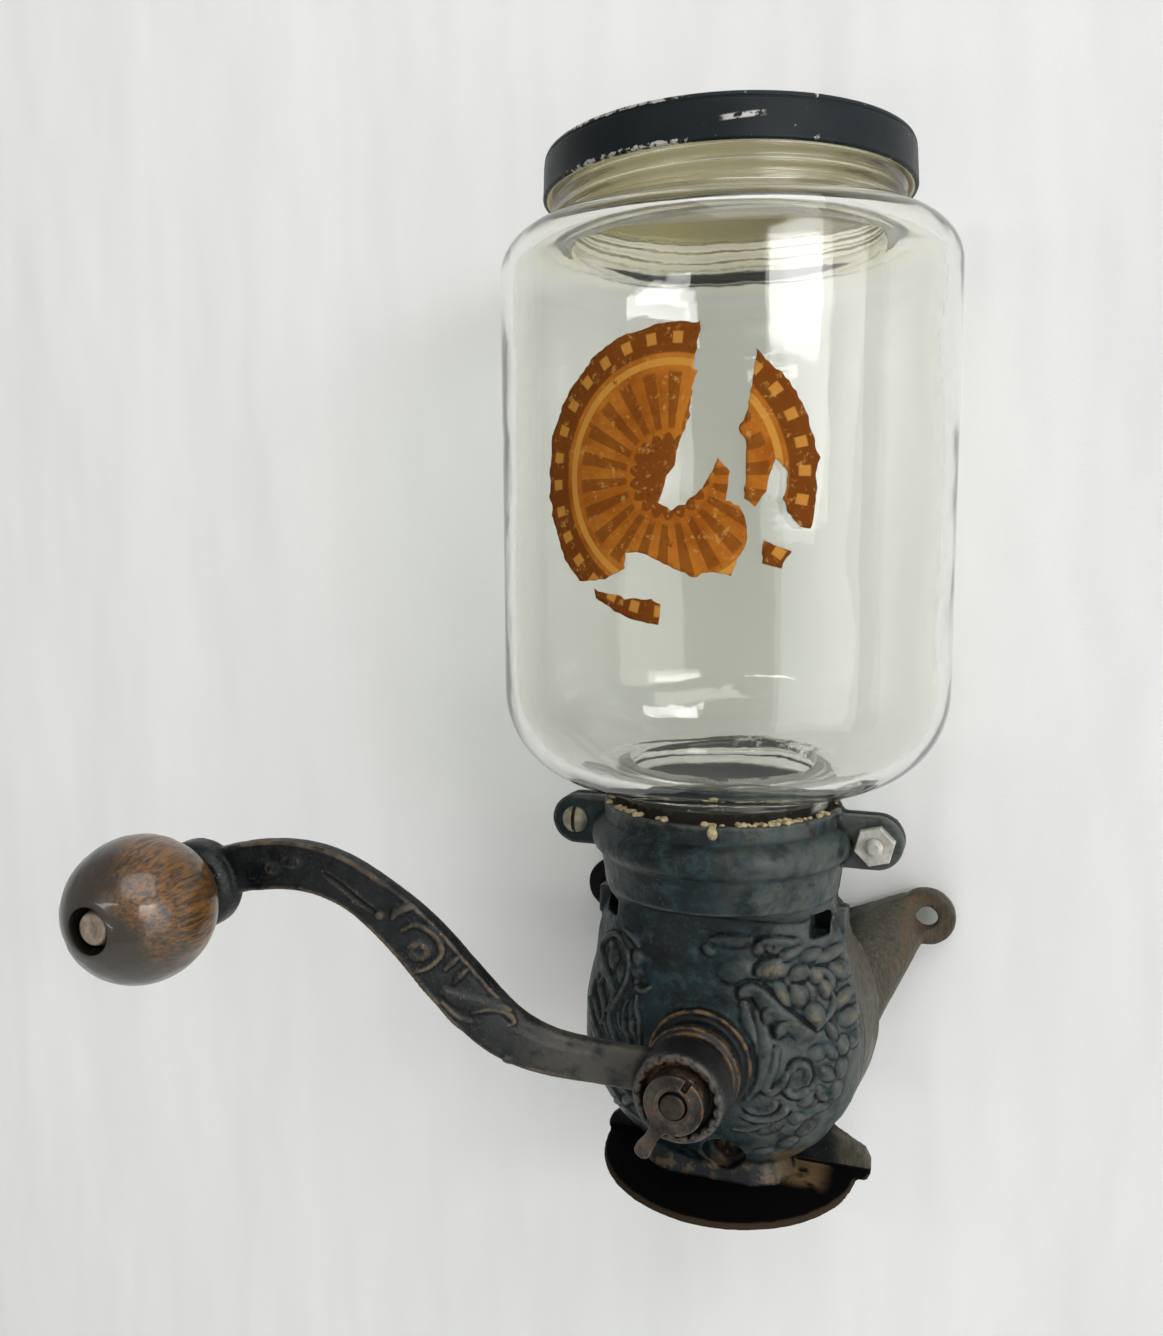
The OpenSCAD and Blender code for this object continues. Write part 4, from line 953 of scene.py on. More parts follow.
# The bead round the jar's foot, as mm out from the foot's wall and mm below the body
FOOT_BEAD = [(0.0, 4.2), (0.8, 3.5), (1.05, 2.9), (0.8, 2.3), (0.1, 1.6), (0.15, 1.0), (0.8, 0.5),
             (1.5, 0.1)]
RIM_R = 1.2


def jar_outline():
    """The glass's [radius, height] outline, and how many of its points are on the outside."""
    heel = (JAR_R - HEEL_R, BODY_Z + HEEL_R)
    shoulder = (JAR_R - SHOULDER_R, SHOULDER_Z - SHOULDER_R)
    throat, mouth = FOOT_R - GLASS_T, MOUTH_R - GLASS_T
    outer = [[FOOT_R, JAR_LOW]] + [[FOOT_R + out, BODY_Z - down] for out, down in FOOT_BEAD]
    outer += arc(*heel, HEEL_R, -90, 0, 18)
    outer += [[JAR_R, z] for z in np.linspace(heel[1], shoulder[1], 24)[1:-1]]
    outer += arc(*shoulder, SHOULDER_R, 0, 90, 12) + [[MOUTH_R + 0.8, SHOULDER_Z + 0.25]]
    outer += [[MOUTH_R, z] for z in np.arange(SHOULDER_Z + 1.2, JAR_TOP - RIM_R, 0.35)]
    rim = arc(MOUTH_R - RIM_R, JAR_TOP - RIM_R, RIM_R, 0, 90, 4)
    rim += arc(mouth + RIM_R, JAR_TOP - RIM_R, RIM_R, 90, 180, 4)
    inner = [[mouth, z] for z in np.linspace(JAR_TOP - 3, SHOULDER_Z - GLASS_T + 1.5, 8)]
    inner += [[mouth + 1.5, SHOULDER_Z - GLASS_T]]
    inner += arc(*shoulder, SHOULDER_R - GLASS_T, 90, 0, 10)
    inner += [[JAR_R - GLASS_T, z] for z in np.linspace(shoulder[1], heel[1], 24)[1:-1]]
    inner += arc(*heel, HEEL_R - GLASS_T, 0, -90, 16)
    inner += [[throat + 1.5, BODY_Z + GLASS_T], [throat, BODY_Z + GLASS_T - 1.5], [throat, JAR_LOW]]
    return outer + rim + inner, len(outer)


def jar():
    """The jar with its thread, a little uneven as pressed glass is."""
    outline, outside = jar_outline()
    rings, turn = turned(outline, ROUND, 0.0, JAR_Y, Z)
    out = rings - np.array([0, JAR_Y, 0])
    out[:, :, Z] = 0
    out /= np.linalg.norm(out, axis=2)[:, :, None]
    z = rings[:, :, Z]
    outer = np.arange(len(outline))[:, None] < outside
    on_neck = outer * smooth(z, SHOULDER_Z + 1.6, SHOULDER_Z + 3) * smooth(z, JAR_TOP - 4, JAR_TOP - 6)
    phase = (z - THREAD_PITCH * turn[None, :] / (2 * math.pi)) / THREAD_PITCH
    ridge = np.exp(-((phase - np.round(phase)) * THREAD_PITCH / 0.85) ** 2)
    push = THREAD_H * on_neck * ridge
    body = smooth(z, BODY_Z + 4, BODY_Z + 20) * smooth(z, SHOULDER_Z - 2, SHOULDER_Z - 14)
    push += body * np.where(outer, 0.12 * lumps(rings, 38) - 0.12, 0.35 * lumps(rings + 50, 24))
    rings += out * push[:, :, None]
    mesh = mesh_of("jar", rings, ring_faces(len(outline), ROUND))
    piece("glass_jar", mesh, glass_look(), "housing", ["hopper_jar"])


def lid():
    """The tin lid, with a rolled lower rim, a raised upper one and small dents."""
    bore, skirt, low, top = LID_R - 1.9, LID_R - 0.6, LID_LOW, LID_TOP
    outline = dense(rounded([
        (0.0, top - 1.0, 0), (bore - 1, top - 1.0, 0.5), (bore, top - 2.0, 0.5), (bore, low + 0.2, 0.2),
        (LID_R - 1.0, low, 0.4), (LID_R - 0.25, low + 0.3, 0.4), (LID_R - 0.4, low + 2.0, 1.0),
        (skirt, top - 1.7, 0.4), (skirt - 0.35, top - 1.4, 0.2), (skirt - 0.05, top - 1.0, 0.3),
        (skirt - 0.4, top, 0.8), (skirt - 3.0, top, 0.8), (skirt - 4.4, top - 0.5, 0.8),
        (0.0, top - 0.5, 0)]), 1.6)
    rings, _ = turned(outline, ROUND, 0.0, JAR_Y, Z)
    dents = 0.16 * lumps(rings, 15) + 0.08 * lumps(rings, 6)
    out = rings - np.array([0, JAR_Y, 0])
    out[:, :, Z] = 0
    reach = np.maximum(np.linalg.norm(out, axis=2), 1e-6)[:, :, None]
    rings += out / reach * (dents - 0.2)[:, :, None] * smooth(reach, 20, 40)
    mesh = mesh_of("lid", rings, ring_faces(len(outline), ROUND))
    piece("tin_lid", mesh, lid_look(), "lid", ["jar_lid"], 50)


def liner():
    low, top = span("lid_liner", Z)
    radius = half("lid_liner", X)
    outline = dense(rounded([(0.0, low, 0), (radius, low, 0.3), (radius, top, 0.3), (0.0, top, 0)]), 4.0)
    piece("card_liner", lathe("card_liner", outline, 96), card_look(), "liner", ["lid_liner"])


LABEL_PIECES = [
    [(0.226, 0.99), (0.193, 0.84), (0.163, 0.7), (0.21, 0.68), (0.163, 0.57), (0.152, 0.4),
     (0.08, 0.225), (0.04, 0.055), (-0.085, -0.167), (0.017, -0.218), (0.125, -0.19), (0.238, -0.08),
     (0.337, 0.112), (0.41, 0.03), (0.395, -0.15), (0.508, -0.2), (0.536, -0.405), (0.438, -0.66),
     (0.33, -0.634), (0.2, -0.668), (0.048, -0.61), (-0.19, -0.508), (-0.32, -0.514), (-0.344, -0.627),
     (-0.48, -0.695), (-0.71, -0.7), (-0.86, -0.5), (-0.97, -0.24), (-1.0, 0.05), (-0.95, 0.32),
     (-0.8, 0.6), (-0.57, 0.82), (-0.3, 0.955), (0.0, 1.0)],
    [(0.587, 0.81), (0.75, 0.66), (0.9, 0.43), (0.985, 0.16), (0.985, -0.16), (0.94, -0.34),
     (0.88, -0.34), (0.828, -0.286), (0.782, -0.15), (0.809, 0.02), (0.706, 0.106), (0.656, -0.116),
     (0.58, -0.21), (0.53, -0.15), (0.522, 0.19), (0.491, 0.31), (0.55, 0.463)],
    [(0.656, -0.422), (0.82, -0.49), (0.77, -0.615), (0.637, -0.576)],
    [(-0.57, -0.76), (-0.48, -0.787), (-0.31, -0.82), (-0.11, -0.814), (-0.06, -0.848), (-0.07, -0.99),
     (-0.3, -0.95), (-0.56, -0.825)],
]


def torn(outline, step):
    """A label outline in mm, with a jagged torn edge."""
    fine = dense([np.array(p) * LABEL_R for p in outline], step)
    flat = np.column_stack([fine, np.zeros(len(fine))])
    shift = np.column_stack([lumps(flat, 1.3), lumps(flat + 40, 1.3)]) * 0.35
    shift += np.column_stack([lumps(flat, 3.4), lumps(flat + 70, 3.4)]) * 0.45
    return fine + shift


def inside(points, outline):
    """True for each point that lies inside a closed outline."""
    x, y = points.T
    odd = np.zeros(len(points), bool)
    for (ax, ay), (bx, by) in zip(outline, np.roll(outline, -1, axis=0)):
        crosses = (ay > y) != (by > y)
        with np.errstate(divide="ignore", invalid="ignore"):
            at = ax + (y - ay) * (bx - ax) / (by - ay)
        odd ^= crosses & (x < at)
    return odd


def label_sheet(outline):
    """Flat triangles that fill one torn piece of the label."""
    edge = torn(outline, 0.7)
    low, high = edge.min(axis=0), edge.max(axis=0)
    columns = np.arange(low[0], high[0], 1.2)
    rows = np.arange(low[1], high[1], 1.2)
    grid = np.stack(np.meshgrid(columns, rows), -1).reshape(-1, 2)
    grid = grid[inside(grid, edge)]
    points = [tuple(p) for p in np.vstack([edge, grid])]
    loop = list(range(len(edge)))
    flat, _, faces, *_ = delaunay_2d_cdt(points, [], [loop], 1, 1e-5)
    return np.array([tuple(p) for p in flat]), faces


def paper_label():
    points, prints, faces = [], [], []
    wrap = 2 * LABEL_R / (2 * JAR_R)
    squash = math.sin(wrap) / wrap
    for outline in LABEL_PIECES:
        flat, triangles = label_sheet(outline)
        start = sum(len(p) for p in points)
        angle = np.arcsin(np.clip((LABEL_X + squash * flat[:, 0]) / JAR_R, -1, 1))
        place = np.column_stack([flat, np.zeros(len(flat))])
        lift = 0.16 + 0.1 * lumps(place, 7.0) + 0.05 * lumps(place, 2.4)
        radius = JAR_R + lift
        across, deep = radius * np.sin(angle), JAR_Y - radius * np.cos(angle)
        points.append(np.column_stack([across, deep, LABEL_Z + flat[:, 1]]))
        prints.append(flat / (2 * LABEL_R) + 0.5)
        faces += [[start + k for k in face] for face in triangles]
    mesh = bpy.data.meshes.new("label")
    mesh.from_pydata((np.vstack(points) * MM).tolist(), [], faces)
    corner_point = np.empty(len(mesh.loops), np.int32)
    mesh.loops.foreach_get("vertex_index", corner_point)
    layer = mesh.uv_layers.new(name="print")
    layer.data.foreach_set("uv", np.vstack(prints)[corner_point].ravel())
    obj = piece("paper_label_remains", mesh, label_look(), "housing", ["paper_label"])
    thick = obj.modifiers.new("paper", "SOLIDIFY")
    thick.thickness = 0.18 * MM
    thick.offset = 1.0


# Clusters of crumbs, as degrees to the right of straight ahead (from, to) and how many
CRUMB_PLACES = [(-50, -30, 26), (-20, -12, 4), (4, 14, 8), (20, 50, 34), (50, 75, 14), (90, 300, 40)]
# The drop's lumps: radius beyond the collar, height above its rim, size and how tall
DROP = [(-1.0, 0.25, 1.2, 0.6), (-0.15, -0.2, 1.0, 0.9), (-0.1, -1.5, 1.5, 1.1)]


def lump(at, size, shape, seed):
    """A small broken lump about a place in mm."""
    bm = bmesh.new()
    bmesh.ops.create_icosphere(bm, subdivisions=2, radius=1.0)
    for v in bm.verts:
        local = np.array(v.co)
        local *= size * (1 + 0.28 * lumps(local + 9 * seed, 0.9)) * np.array(shape)
        v.co = (local + at) * MM
    mesh = bpy.data.meshes.new("lump")
    bm.to_mesh(mesh)
    bm.free()
    return mesh


def on_rim(degrees, radius, height):
    """A place over the collar, at degrees to the right of straight ahead and a height above its rim."""
    turn = math.radians(degrees)
    return np.array([radius * math.sin(turn), JAR_Y - radius * math.cos(turn), COLLAR_TOP + height])


def crumbs():
    """Broken cement in clusters on the collar's rim, and one drop that ran over it."""
    rng = np.random.default_rng(7)
    meshes = []
    for start, stop, count in CRUMB_PLACES:
        for _ in range(count):
            size = rng.uniform(0.4, 1.15)
            at = on_rim(rng.uniform(start, stop), rng.uniform(FOOT_R + 0.9, COLLAR_R - 0.8), 0.3 * size)
            meshes.append(lump(at, size, (1.0, 1.0, 0.7), len(meshes)))
    for radius, height, size, tall in DROP:
        meshes.append(lump(on_rim(9, COLLAR_R + radius, height), size, (1.0, 0.8, tall), len(meshes)))
    return meshes


def cement_ring():
    low, top = span("jar_cement", Z)
    inner, outer = FOOT_R + 0.06, half("jar_cement", X)
    outline = dense([(inner, low), (outer, low), (outer, top), (inner, top)], 0.5)
    rings, _ = turned(outline, 240, 0.0, JAR_Y, Z)
    above = smooth(rings[:, :, Z], top - 1.0, top)
    rings[:, :, Z] += above * (0.16 * lumps(rings, 3.2) + 0.10 * lumps(rings, 1.3) - 0.1)
    ring = mesh_of("cement", rings, ring_faces(len(outline), 240))
    mesh = joined("cement_ring", [ring] + crumbs())
    piece("cement_ring", mesh, cement_look(), "housing", ["jar_cement"])


# Crank, knob and nut

def bezier(p, t):
    t = t[:, None]
    return (1 - t) ** 3 * p[0] + 3 * t * (1 - t) ** 2 * p[1] + 3 * t * t * (1 - t) * p[2] + t ** 3 * p[3]


def arm_line(count):
    """The arm's middle line seen from the front, its sideways direction and its length so far, in mm."""
    path = np.array(ARM_PATH) * [-CRANK_REACH, CRANK_RISE]
    t = np.linspace(0, 1, count)
    line = np.vstack([bezier(path[:4], t), bezier(path[3:], t)[1:]])
    along = np.gradient(line, axis=0)
    along /= np.linalg.norm(along, axis=1)[:, None]
    side = np.column_stack([-along[:, 1], along[:, 0]])
    length = np.concatenate([[0], np.cumsum(np.linalg.norm(np.diff(line, axis=0), axis=1))])
    return line, side, length


def arm_depth(x):
    """How far forward the arm's middle lies."""
    return ARM_START_Y + (ARM_END_Y - ARM_START_Y) * smooth(-x, BEND_START, BEND_END)


def arm_relief(s, t):
    """Height of the cast ornament along s in mm from the hub and across t in half widths."""
    def blob(at_s, at_t, long, wide, height):
        return height * np.sqrt(np.clip(1 - ((s - at_s) / long) ** 2 - ((t - at_t) / wide) ** 2, 0, 1))

    def stroke(points, width, height):
        scaled = [(a, 6.0 * b) for a, b in points]
        return rib_height(s, 6.0 * t, (scaled, width, height))

    field = smooth(s, 46, 50) * smooth(s, 128, 122)
    border = np.exp(-((np.abs(t) - 0.9) / 0.13) ** 2)
    height = field * (0.55 * border - 0.45 * smooth(np.abs(t), 0.82, 0.7))
    bar = smooth(np.abs(t - 0.06), 0.7, 0.5) * smooth(s, 47.5, 45.0)
    height = np.maximum(height, 0.55 * bar * smooth(s, 10, 22) * (1 - 0.5 * (t - 0.06) ** 2))
    marks = [
        blob(70, 0.12, 3.1, 0.46, 1.0) - blob(70, 0.12, 1.3, 0.2, 0.5),
        stroke([(66, 0.72), (65.2, 0.2), (66.4, -0.45), (70.5, -0.72), (75.5, -0.5), (76.5, 0.05)],
               0.8, 0.9),
        stroke([(79, -0.9), (80.6, -0.45), (80.2, -0.12)], 1.3, 1.0),
        stroke([(63.5, -0.75), (62.6, -0.2)], 0.9, 0.9), stroke([(59.5, -0.72), (58.6, -0.12)], 0.9, 0.9),
        stroke([(58, 0.34), (54, 0.1), (49, -0.45), (44.5, -0.9)], 2.0, 0.8),
        stroke([(49.5, 0.1), (48.0, -0.4), (44.5, -0.74), (41, -0.66), (41.5, -0.42)], 0.8, 0.9),
        stroke([(56, 0.7), (51, 0.62), (47.5, 0.35)], 0.8, 0.7),
        blob(35.5, 0.76, 1.5, 0.2, 0.9), stroke([(33, 0.74), (27, 0.72), (21, 0.68)], 0.5, 0.6),
        blob(83, 0.19, 1.2, 0.18, 0.8), blob(111, -0.2, 3.2, 0.3, 0.6), blob(117, 0.1, 2.6, 0.28, 0.5),
    ]
    for mark in marks:
        height = np.maximum(height, mark)
    groove = stroke([(101, -0.02), (91, 0.24), (84.5, 0.2)], 0.55, 0.6)
    return height - groove


def arm_half_width(share):
    """Half the arm's width at a share of its length from the hub."""
    return ARM_W / 2 * (ARM_TAPER[0] + (ARM_TAPER[1] - ARM_TAPER[0]) * share)


def arm_mesh():
    line, side, _ = arm_line(90)
    wide = arm_half_width(np.linspace(0, 1, len(line)))
    turn = np.linspace(0, 2 * math.pi, 56, endpoint=False)
    across = np.sign(np.cos(turn)) * np.abs(np.cos(turn)) ** 0.45
    deep = np.sign(np.sin(turn)) * np.abs(np.sin(turn)) ** 0.45
    flat = line[:, None, :] + side[:, None, :] * (across[None, :, None] * wide[:, None, None])
    rings = np.empty((len(line), len(turn), 3))
    rings[:, :, X] = flat[:, :, 0]
    rings[:, :, Z] = SHAFT_Z + flat[:, :, 1]
    rings[:, :, Y] = arm_depth(flat[:, :, 0]) + deep[None, :] * ARM_T / 2
    return mesh_of("arm", rings, tube_faces(len(line), len(turn)))


def hub_mesh():
    """The hub, with a serrated recess for the thumb nut."""
    bore, floor = SHAFT_R + 0.1, HUB_FRONT + RECESS_DEPTH
    outline = dense(rounded([
        (bore, HUB_REAR, 0), (HUB_R - 1.2, HUB_REAR, 0.4), (HUB_R, HUB_REAR - 1.2, 0.8),
        (HUB_R, HUB_FRONT + 1.6, 0.8), (HUB_R - 0.8, HUB_FRONT, 0.7), (RECESS_R + 0.5, HUB_FRONT, 0.5),
        (RECESS_R, floor, 0.3), (bore, floor, 0)]), 0.7)
    rings, turn = turned(outline, 200, 0.0, SHAFT_Z, Y)
    radius, height = outline[:, :1], outline[:, 1:]
    wall = smooth(np.abs(radius - RECESS_R - 0.2), 0.7, 0.3)
    wall *= smooth(height, HUB_FRONT + 2.6, HUB_FRONT + 1.8)
    notch = wall * 0.9 * smooth(np.cos(20 * turn)[None, :], 0.1, 0.8)
    scale_about(rings, 0.0, SHAFT_Z, 1 + notch / radius)
    return mesh_of("hub", rings, ring_faces(len(outline), 200))


def end_boss_mesh():
    rear, front = ARM_END_Y + ARM_T / 2, KNOB_REAR + 0.4
    outline = dense(rounded([
        (RIVET_R + 0.05, rear, 0), (END_BOSS_R - 1.5, rear, 0.6), (END_BOSS_R, rear - 1.5, 1.2),
        (END_BOSS_R, front + 2.2, 1.4), (END_BOSS_R - 2.2, front, 1.0), (RIVET_R + 0.05, front, 0)]), 0.8)
    return lathe("end_boss", outline, 128, KNOB_X, KNOB_Z, Y)


def along_arm(points):
    """How far along the arm each point is, in mm, and how far across it, in half widths."""
    line, side, length = arm_line(160)
    flat = np.column_stack([points[:, X], points[:, Z] - SHAFT_Z])
    gap = np.full(len(flat), 1e9)
    nearest = np.zeros(len(flat), int)
    for i, spot_on in enumerate(line):
        away = ((flat - spot_on) ** 2).sum(axis=1)
        nearer = away < gap
        gap = np.where(nearer, away, gap)
        nearest = np.where(nearer, i, nearest)
    across = ((flat - line[nearest]) * side[nearest]).sum(axis=1)
    return length[nearest], across / arm_half_width(nearest / (len(line) - 1))


def crank():
    mesh = skinned(joined("crank", [arm_mesh(), hub_mesh(), end_boss_mesh()]), 0.42, 2)
    points = points_of(mesh)
    normals = normals_of(mesh)
    from_hub = np.hypot(points[:, X], points[:, Z] - SHAFT_Z)
    from_knob = np.hypot(points[:, X] - KNOB_X, points[:, Z] - KNOB_Z)
    facing = smooth(-normals[:, Y], 0.35, 0.7) * smooth(from_hub, HUB_R + 0.5, HUB_R + 3)
    facing *= smooth(from_knob, END_BOSS_R + 0.5, END_BOSS_R + 2.5)
    height = arm_relief(*along_arm(points)) * facing + 0.05 * lumps(points, 3.0) + 0.03 * lumps(points, 1.2)
    set_points(mesh, points + normals * height[:, None])
    mark_edges(mesh, 5, 0.13)
    piece("crank_casting", mesh, crank_iron(), "crank", ["crank_arm"])


def wooden_knob():
    centre = KNOB_FRONT + KNOB_R
    start = math.degrees(-math.acos(SINK_R / KNOB_R))
    stop = math.degrees(math.asin((KNOB_REAR - centre) / KNOB_R))
    ball = arc(0, centre, KNOB_R, start + 2.5, stop - 2, 40)
    bore = RIVET_R + 0.06
    floor = KNOB_FRONT + SINK_DEPTH
    outline = [[bore, KNOB_REAR], [bore, floor], [SINK_R - 0.3, floor], [SINK_R, floor - 0.4]]
    outline += [[SINK_R, KNOB_FRONT + 1.7], [SINK_R + 0.2, KNOB_FRONT + 1.05]]
    outline += ball + [[ball[-1][0] - 0.5, KNOB_REAR - 0.05], [ball[-1][0] - 1.0, KNOB_REAR]]
    outline = dense(outline, 1.2)
    mesh = lathe("knob_ball", outline, 160, KNOB_X, KNOB_Z, Y)
    points = points_of(mesh)
    away = np.hypot(points[:, X] - KNOB_X, points[:, Z] - KNOB_Z)
    dents = -0.18 * smooth(lumps(points, 5.0), 0.35, 0.8) - 0.06 * (1 + lumps(points, 2.0))
    set_points(mesh, points + normals_of(mesh) * (dents * smooth(away, 6.5, 9.0))[:, None])
    piece("wooden_knob", mesh, wood_look(), "knob", ["knob"], 40)


def rivet():
    front, rear = span("knob_rivet", Y)
    head = RIVET_R + 1.2
    back = ARM_END_Y + ARM_T / 2
    outline = dense(rounded([
        (0.0, front + 0.35, 0), (1.2, front + 0.35, 0.4), (1.7, front, 0.5),
        (head - 0.4, front + 0.1, 0.6), (head, front + 1.4, 0.8), (head, front + 3.0, 0.2),
        (RIVET_R, front + 3.0, 0.1), (RIVET_R, back + 0.06, 0.1),
        (RIVET_R + 1.5, back + 0.06, 0.2), (RIVET_R + 1.3, rear, 0.3), (0.0, rear, 0)]), 0.5)
    mesh = lathe("rivet", outline, 64, KNOB_X, KNOB_Z, Y)
    look = bare_iron("rivet_metal", (0.19, 0.145, 0.11), (0.33, 0.255, 0.20), (0.11, 0.065, 0.042), 0.25)
    piece("rivet", mesh, look, "crank", ["knob_rivet"], 50)


def thumb_nut():
    """Thumb nut with a waisted finger tab that bends forward."""
    mesh = skinned(node_mesh("adjusting_nut"), 0.24, 3)
    points = points_of(mesh)
    turn = math.radians(TAB_TURN)
    along = points[:, X] * math.cos(turn) + (points[:, Z] - SHAFT_Z) * math.sin(turn)
    across = (points[:, Z] - SHAFT_Z) * math.cos(turn) - points[:, X] * math.sin(turn)
    waist = smooth(along, NUT_R - 1.0, NUT_R + 2.0) * smooth(along, NUT_R + 8.5, NUT_R + 4.0)
    squeeze = 0.3 * across * waist
    points[:, X] += squeeze * math.sin(turn)
    points[:, Z] -= squeeze * math.cos(turn)
    points[:, Y] -= 1.1 * smooth(along, NUT_R + 1.0, NUT_R + 8.0)
    away = np.hypot(points[:, X], points[:, Z] - SHAFT_Z)
    facing = smooth(-normals_of(mesh)[:, Y], 0.4, 0.8)
    ring = np.exp(-((away - 4.7) / 0.6) ** 2) * facing
    push = 0.25 * ring + 0.06 * lumps(points, 1.6)
    set_points(mesh, points + normals_of(mesh) * push[:, None])
    mark_edges(mesh, 4, 0.09)
    s, colour = iron_look("nut_iron", (0.014, 0.012, 0.010), (0.070, 0.058, 0.046),
                          (0.20, 0.145, 0.10), 0.9)
    rust = s.times(s.spots(0.52, 0.66, 2.6, 4, 0.65), 0.7)
    s.set(Base_Color=s.mix(rust, colour, (0.13, 0.055, 0.022)), Metallic=0.2)
    piece("thumb_nut", mesh, s.mat, "nut", ["adjusting_nut"])


def spindle():
    """Shaft with a chamfered, threaded front end."""
    thread, tip, floor = SHAFT_THREAD_R, SHAFT_TIP + 1.2, HUB_FRONT + RECESS_DEPTH
    rows = [[0.0, SHAFT_END], [3.4, SHAFT_END], [4.0, SHAFT_END - 0.6], [4.0, -31.0], [SHAFT_R, -31.6]]
    rows += [[SHAFT_R, HUB_REAR + 0.9], [SQUARE_R, HUB_REAR + 0.8], [SQUARE_R, floor + 0.7]]
    rows += [[3.4, floor + 0.65], [3.4, floor - 0.8]]
    rows += [[thread, y] for y in np.arange(floor - 0.9, tip + 0.7, -0.2)]
    rows += [[thread - 0.15, tip + 0.25], [thread - 0.5, tip + 0.03], [0.0, tip]]
    rings, turn = turned(rows, 72, 0.0, SHAFT_Z, Y)
    height = rings[:, :, Y]
    cut = 0.22 * (0.5 + 0.5 * np.cos(2 * math.pi * height / SHAFT_PITCH + turn[None, :]))
    cut *= smooth(height, floor - 0.8, floor - 1.2) * smooth(height, tip + 0.4, tip + 0.8)
    scale_about(rings, 0.0, SHAFT_Z, 1 - cut / np.maximum(np.array(rows)[:, :1], 1.0))
    mesh = mesh_of("spindle", rings, ring_faces(len(rows), 72, closed=False))
    look = bare_iron("shaft_steel", (0.022, 0.020, 0.017), (0.060, 0.054, 0.045), (0.070, 0.040, 0.020))
    piece("spindle_shaft", mesh, look, "spindle", ["drive_shaft"], 45)
    return look


# Fasteners

def polygon_nut(name, sides, x, z, front, rear, hole, spin=0.0):
    """A nut or head with that many sides, with a small even chamfer."""
    turn = np.linspace(0, 2 * math.pi, 24 * sides, endpoint=False)
    wedge = np.mod(turn + spin, 2 * math.pi / sides) - math.pi / sides
    edge = NUT_FLATS / 2 / np.cos(wedge)
    level = np.ones(turn.shape)
    inward = math.copysign(0.22, rear - front)
    rows = [(hole * level, front)]
    rows += [(hole + share * (edge - 0.3 - hole), front) for share in (0.4, 0.8, 1.0)]
    rows += [(edge - 0.06, front + 0.7 * inward), (edge, front + 1.4 * inward)]
    rows += [(edge, rear - inward), (edge - 0.15, rear), (hole * level, rear)]
    rings = np.empty((len(rows), len(turn), 3))
    for i, (radius, depth) in enumerate(rows):
        rings[i, :, X] = x + radius * np.sin(turn)
        rings[i, :, Z] = z - radius * np.cos(turn)
        rings[i, :, Y] = depth
    return mesh_of(name, rings, ring_faces(len(rows), len(turn)))


def threaded_rod(name, radius, x, z, front, rear, pitch):
    """A rod with a turned thread and a rounded front end."""
    rows = [[0.0, front], [radius - 1.0, front + 0.12], [radius - 0.35, front + 0.5]]
    rows += [[radius, y] for y in np.arange(front + 0.7, rear, 0.12)] + [[0.0, rear]]
    rings, turn = turned(rows, 64, x, z, Y)
    wave = 0.5 + 0.5 * np.cos(2 * math.pi * rings[:, :, Y] / pitch + turn[None, :])
    own = np.maximum(np.array(rows)[:, :1], 1e-6)
    scale_about(rings, x, z, 1 - 0.28 * wave * (own > radius - 0.4) / own)
    return mesh_of(name, rings, ring_faces(len(rows), 64, closed=False))


def fasteners():
    zinc = bare_iron("dull_zinc", (0.33, 0.32, 0.285), (0.54, 0.53, 0.48), (0.26, 0.20, 0.12), 0.35, 0.4)
    nut = polygon_nut("hex_nut", 6, NUT_X, NUT_Z, NUT_FRONT, NUT_REAR, NUT_HOLE_R, 0.26)
    piece("hex_nut", nut, zinc, "housing", ["right_clamp_nut"], 25)
    front, rear = span("right_clamp_bolt", Y)
    rod = threaded_rod("bolt", BOLT_R, NUT_X, NUT_Z, front, rear - 0.5, BOLT_PITCH)
    head = polygon_nut("bolt_head", 4, NUT_X, NUT_Z, rear, rear - 3.2, 1.0, math.pi / 4)
    bolt = joined("clamp_bolt", [rod, head])
    piece("clamp_bolt", bolt, zinc, "housing", ["right_clamp_bolt"], 25)
    screw = skinned(node_mesh("left_clamp_screw"), 0.16, 2)
    piece("slotted_screw", screw, screw_look(), "housing", ["left_clamp_screw"])
    low, high = span("left_clamp_nut", Y)
    x, z = middle("left_clamp_nut", X), middle("left_clamp_nut", Z)
    square = polygon_nut("square_nut", 4, x, z, high, low, NUT_HOLE_R, math.pi / 4)
    piece("square_nut", square, zinc, "housing", ["left_clamp_nut"], 25)
    dark = bare_iron("dark_screw", (0.020, 0.017, 0.014), (0.070, 0.055, 0.042), (0.13, 0.07, 0.035))
    lower = skinned(node_mesh("housing_screw"), 0.18, 2)
    piece("lower_screw", lower, dark, "housing", ["housing_screw"])
    return zinc, dark


def wire_spring(look):
    """The thrust spring with a round wire and closed ends."""
    low, high = span("thrust_spring", Y)
    wire = 0.7
    radius = half("thrust_spring", X) - wire
    t = np.linspace(0, 1, 181)
    turn = 2 * math.pi * 3 * t
    height = low + wire + (high - low - 2 * wire) * t
    ring = np.linspace(0, 2 * math.pi, 16, endpoint=False)
    rings = np.empty((len(t), len(ring), 3))
    reach = radius + wire * np.cos(ring)[None, :]
    rings[:, :, X] = reach * np.cos(turn)[:, None]
    rings[:, :, Z] = SHAFT_Z + reach * np.sin(turn)[:, None]
    rings[:, :, Y] = height[:, None] + wire * np.sin(ring)[None, :]
    mesh = mesh_of("wire_spring", rings, tube_faces(len(t), len(ring)))
    piece("wire_spring", mesh, look, "spindle", ["thrust_spring"], 50)


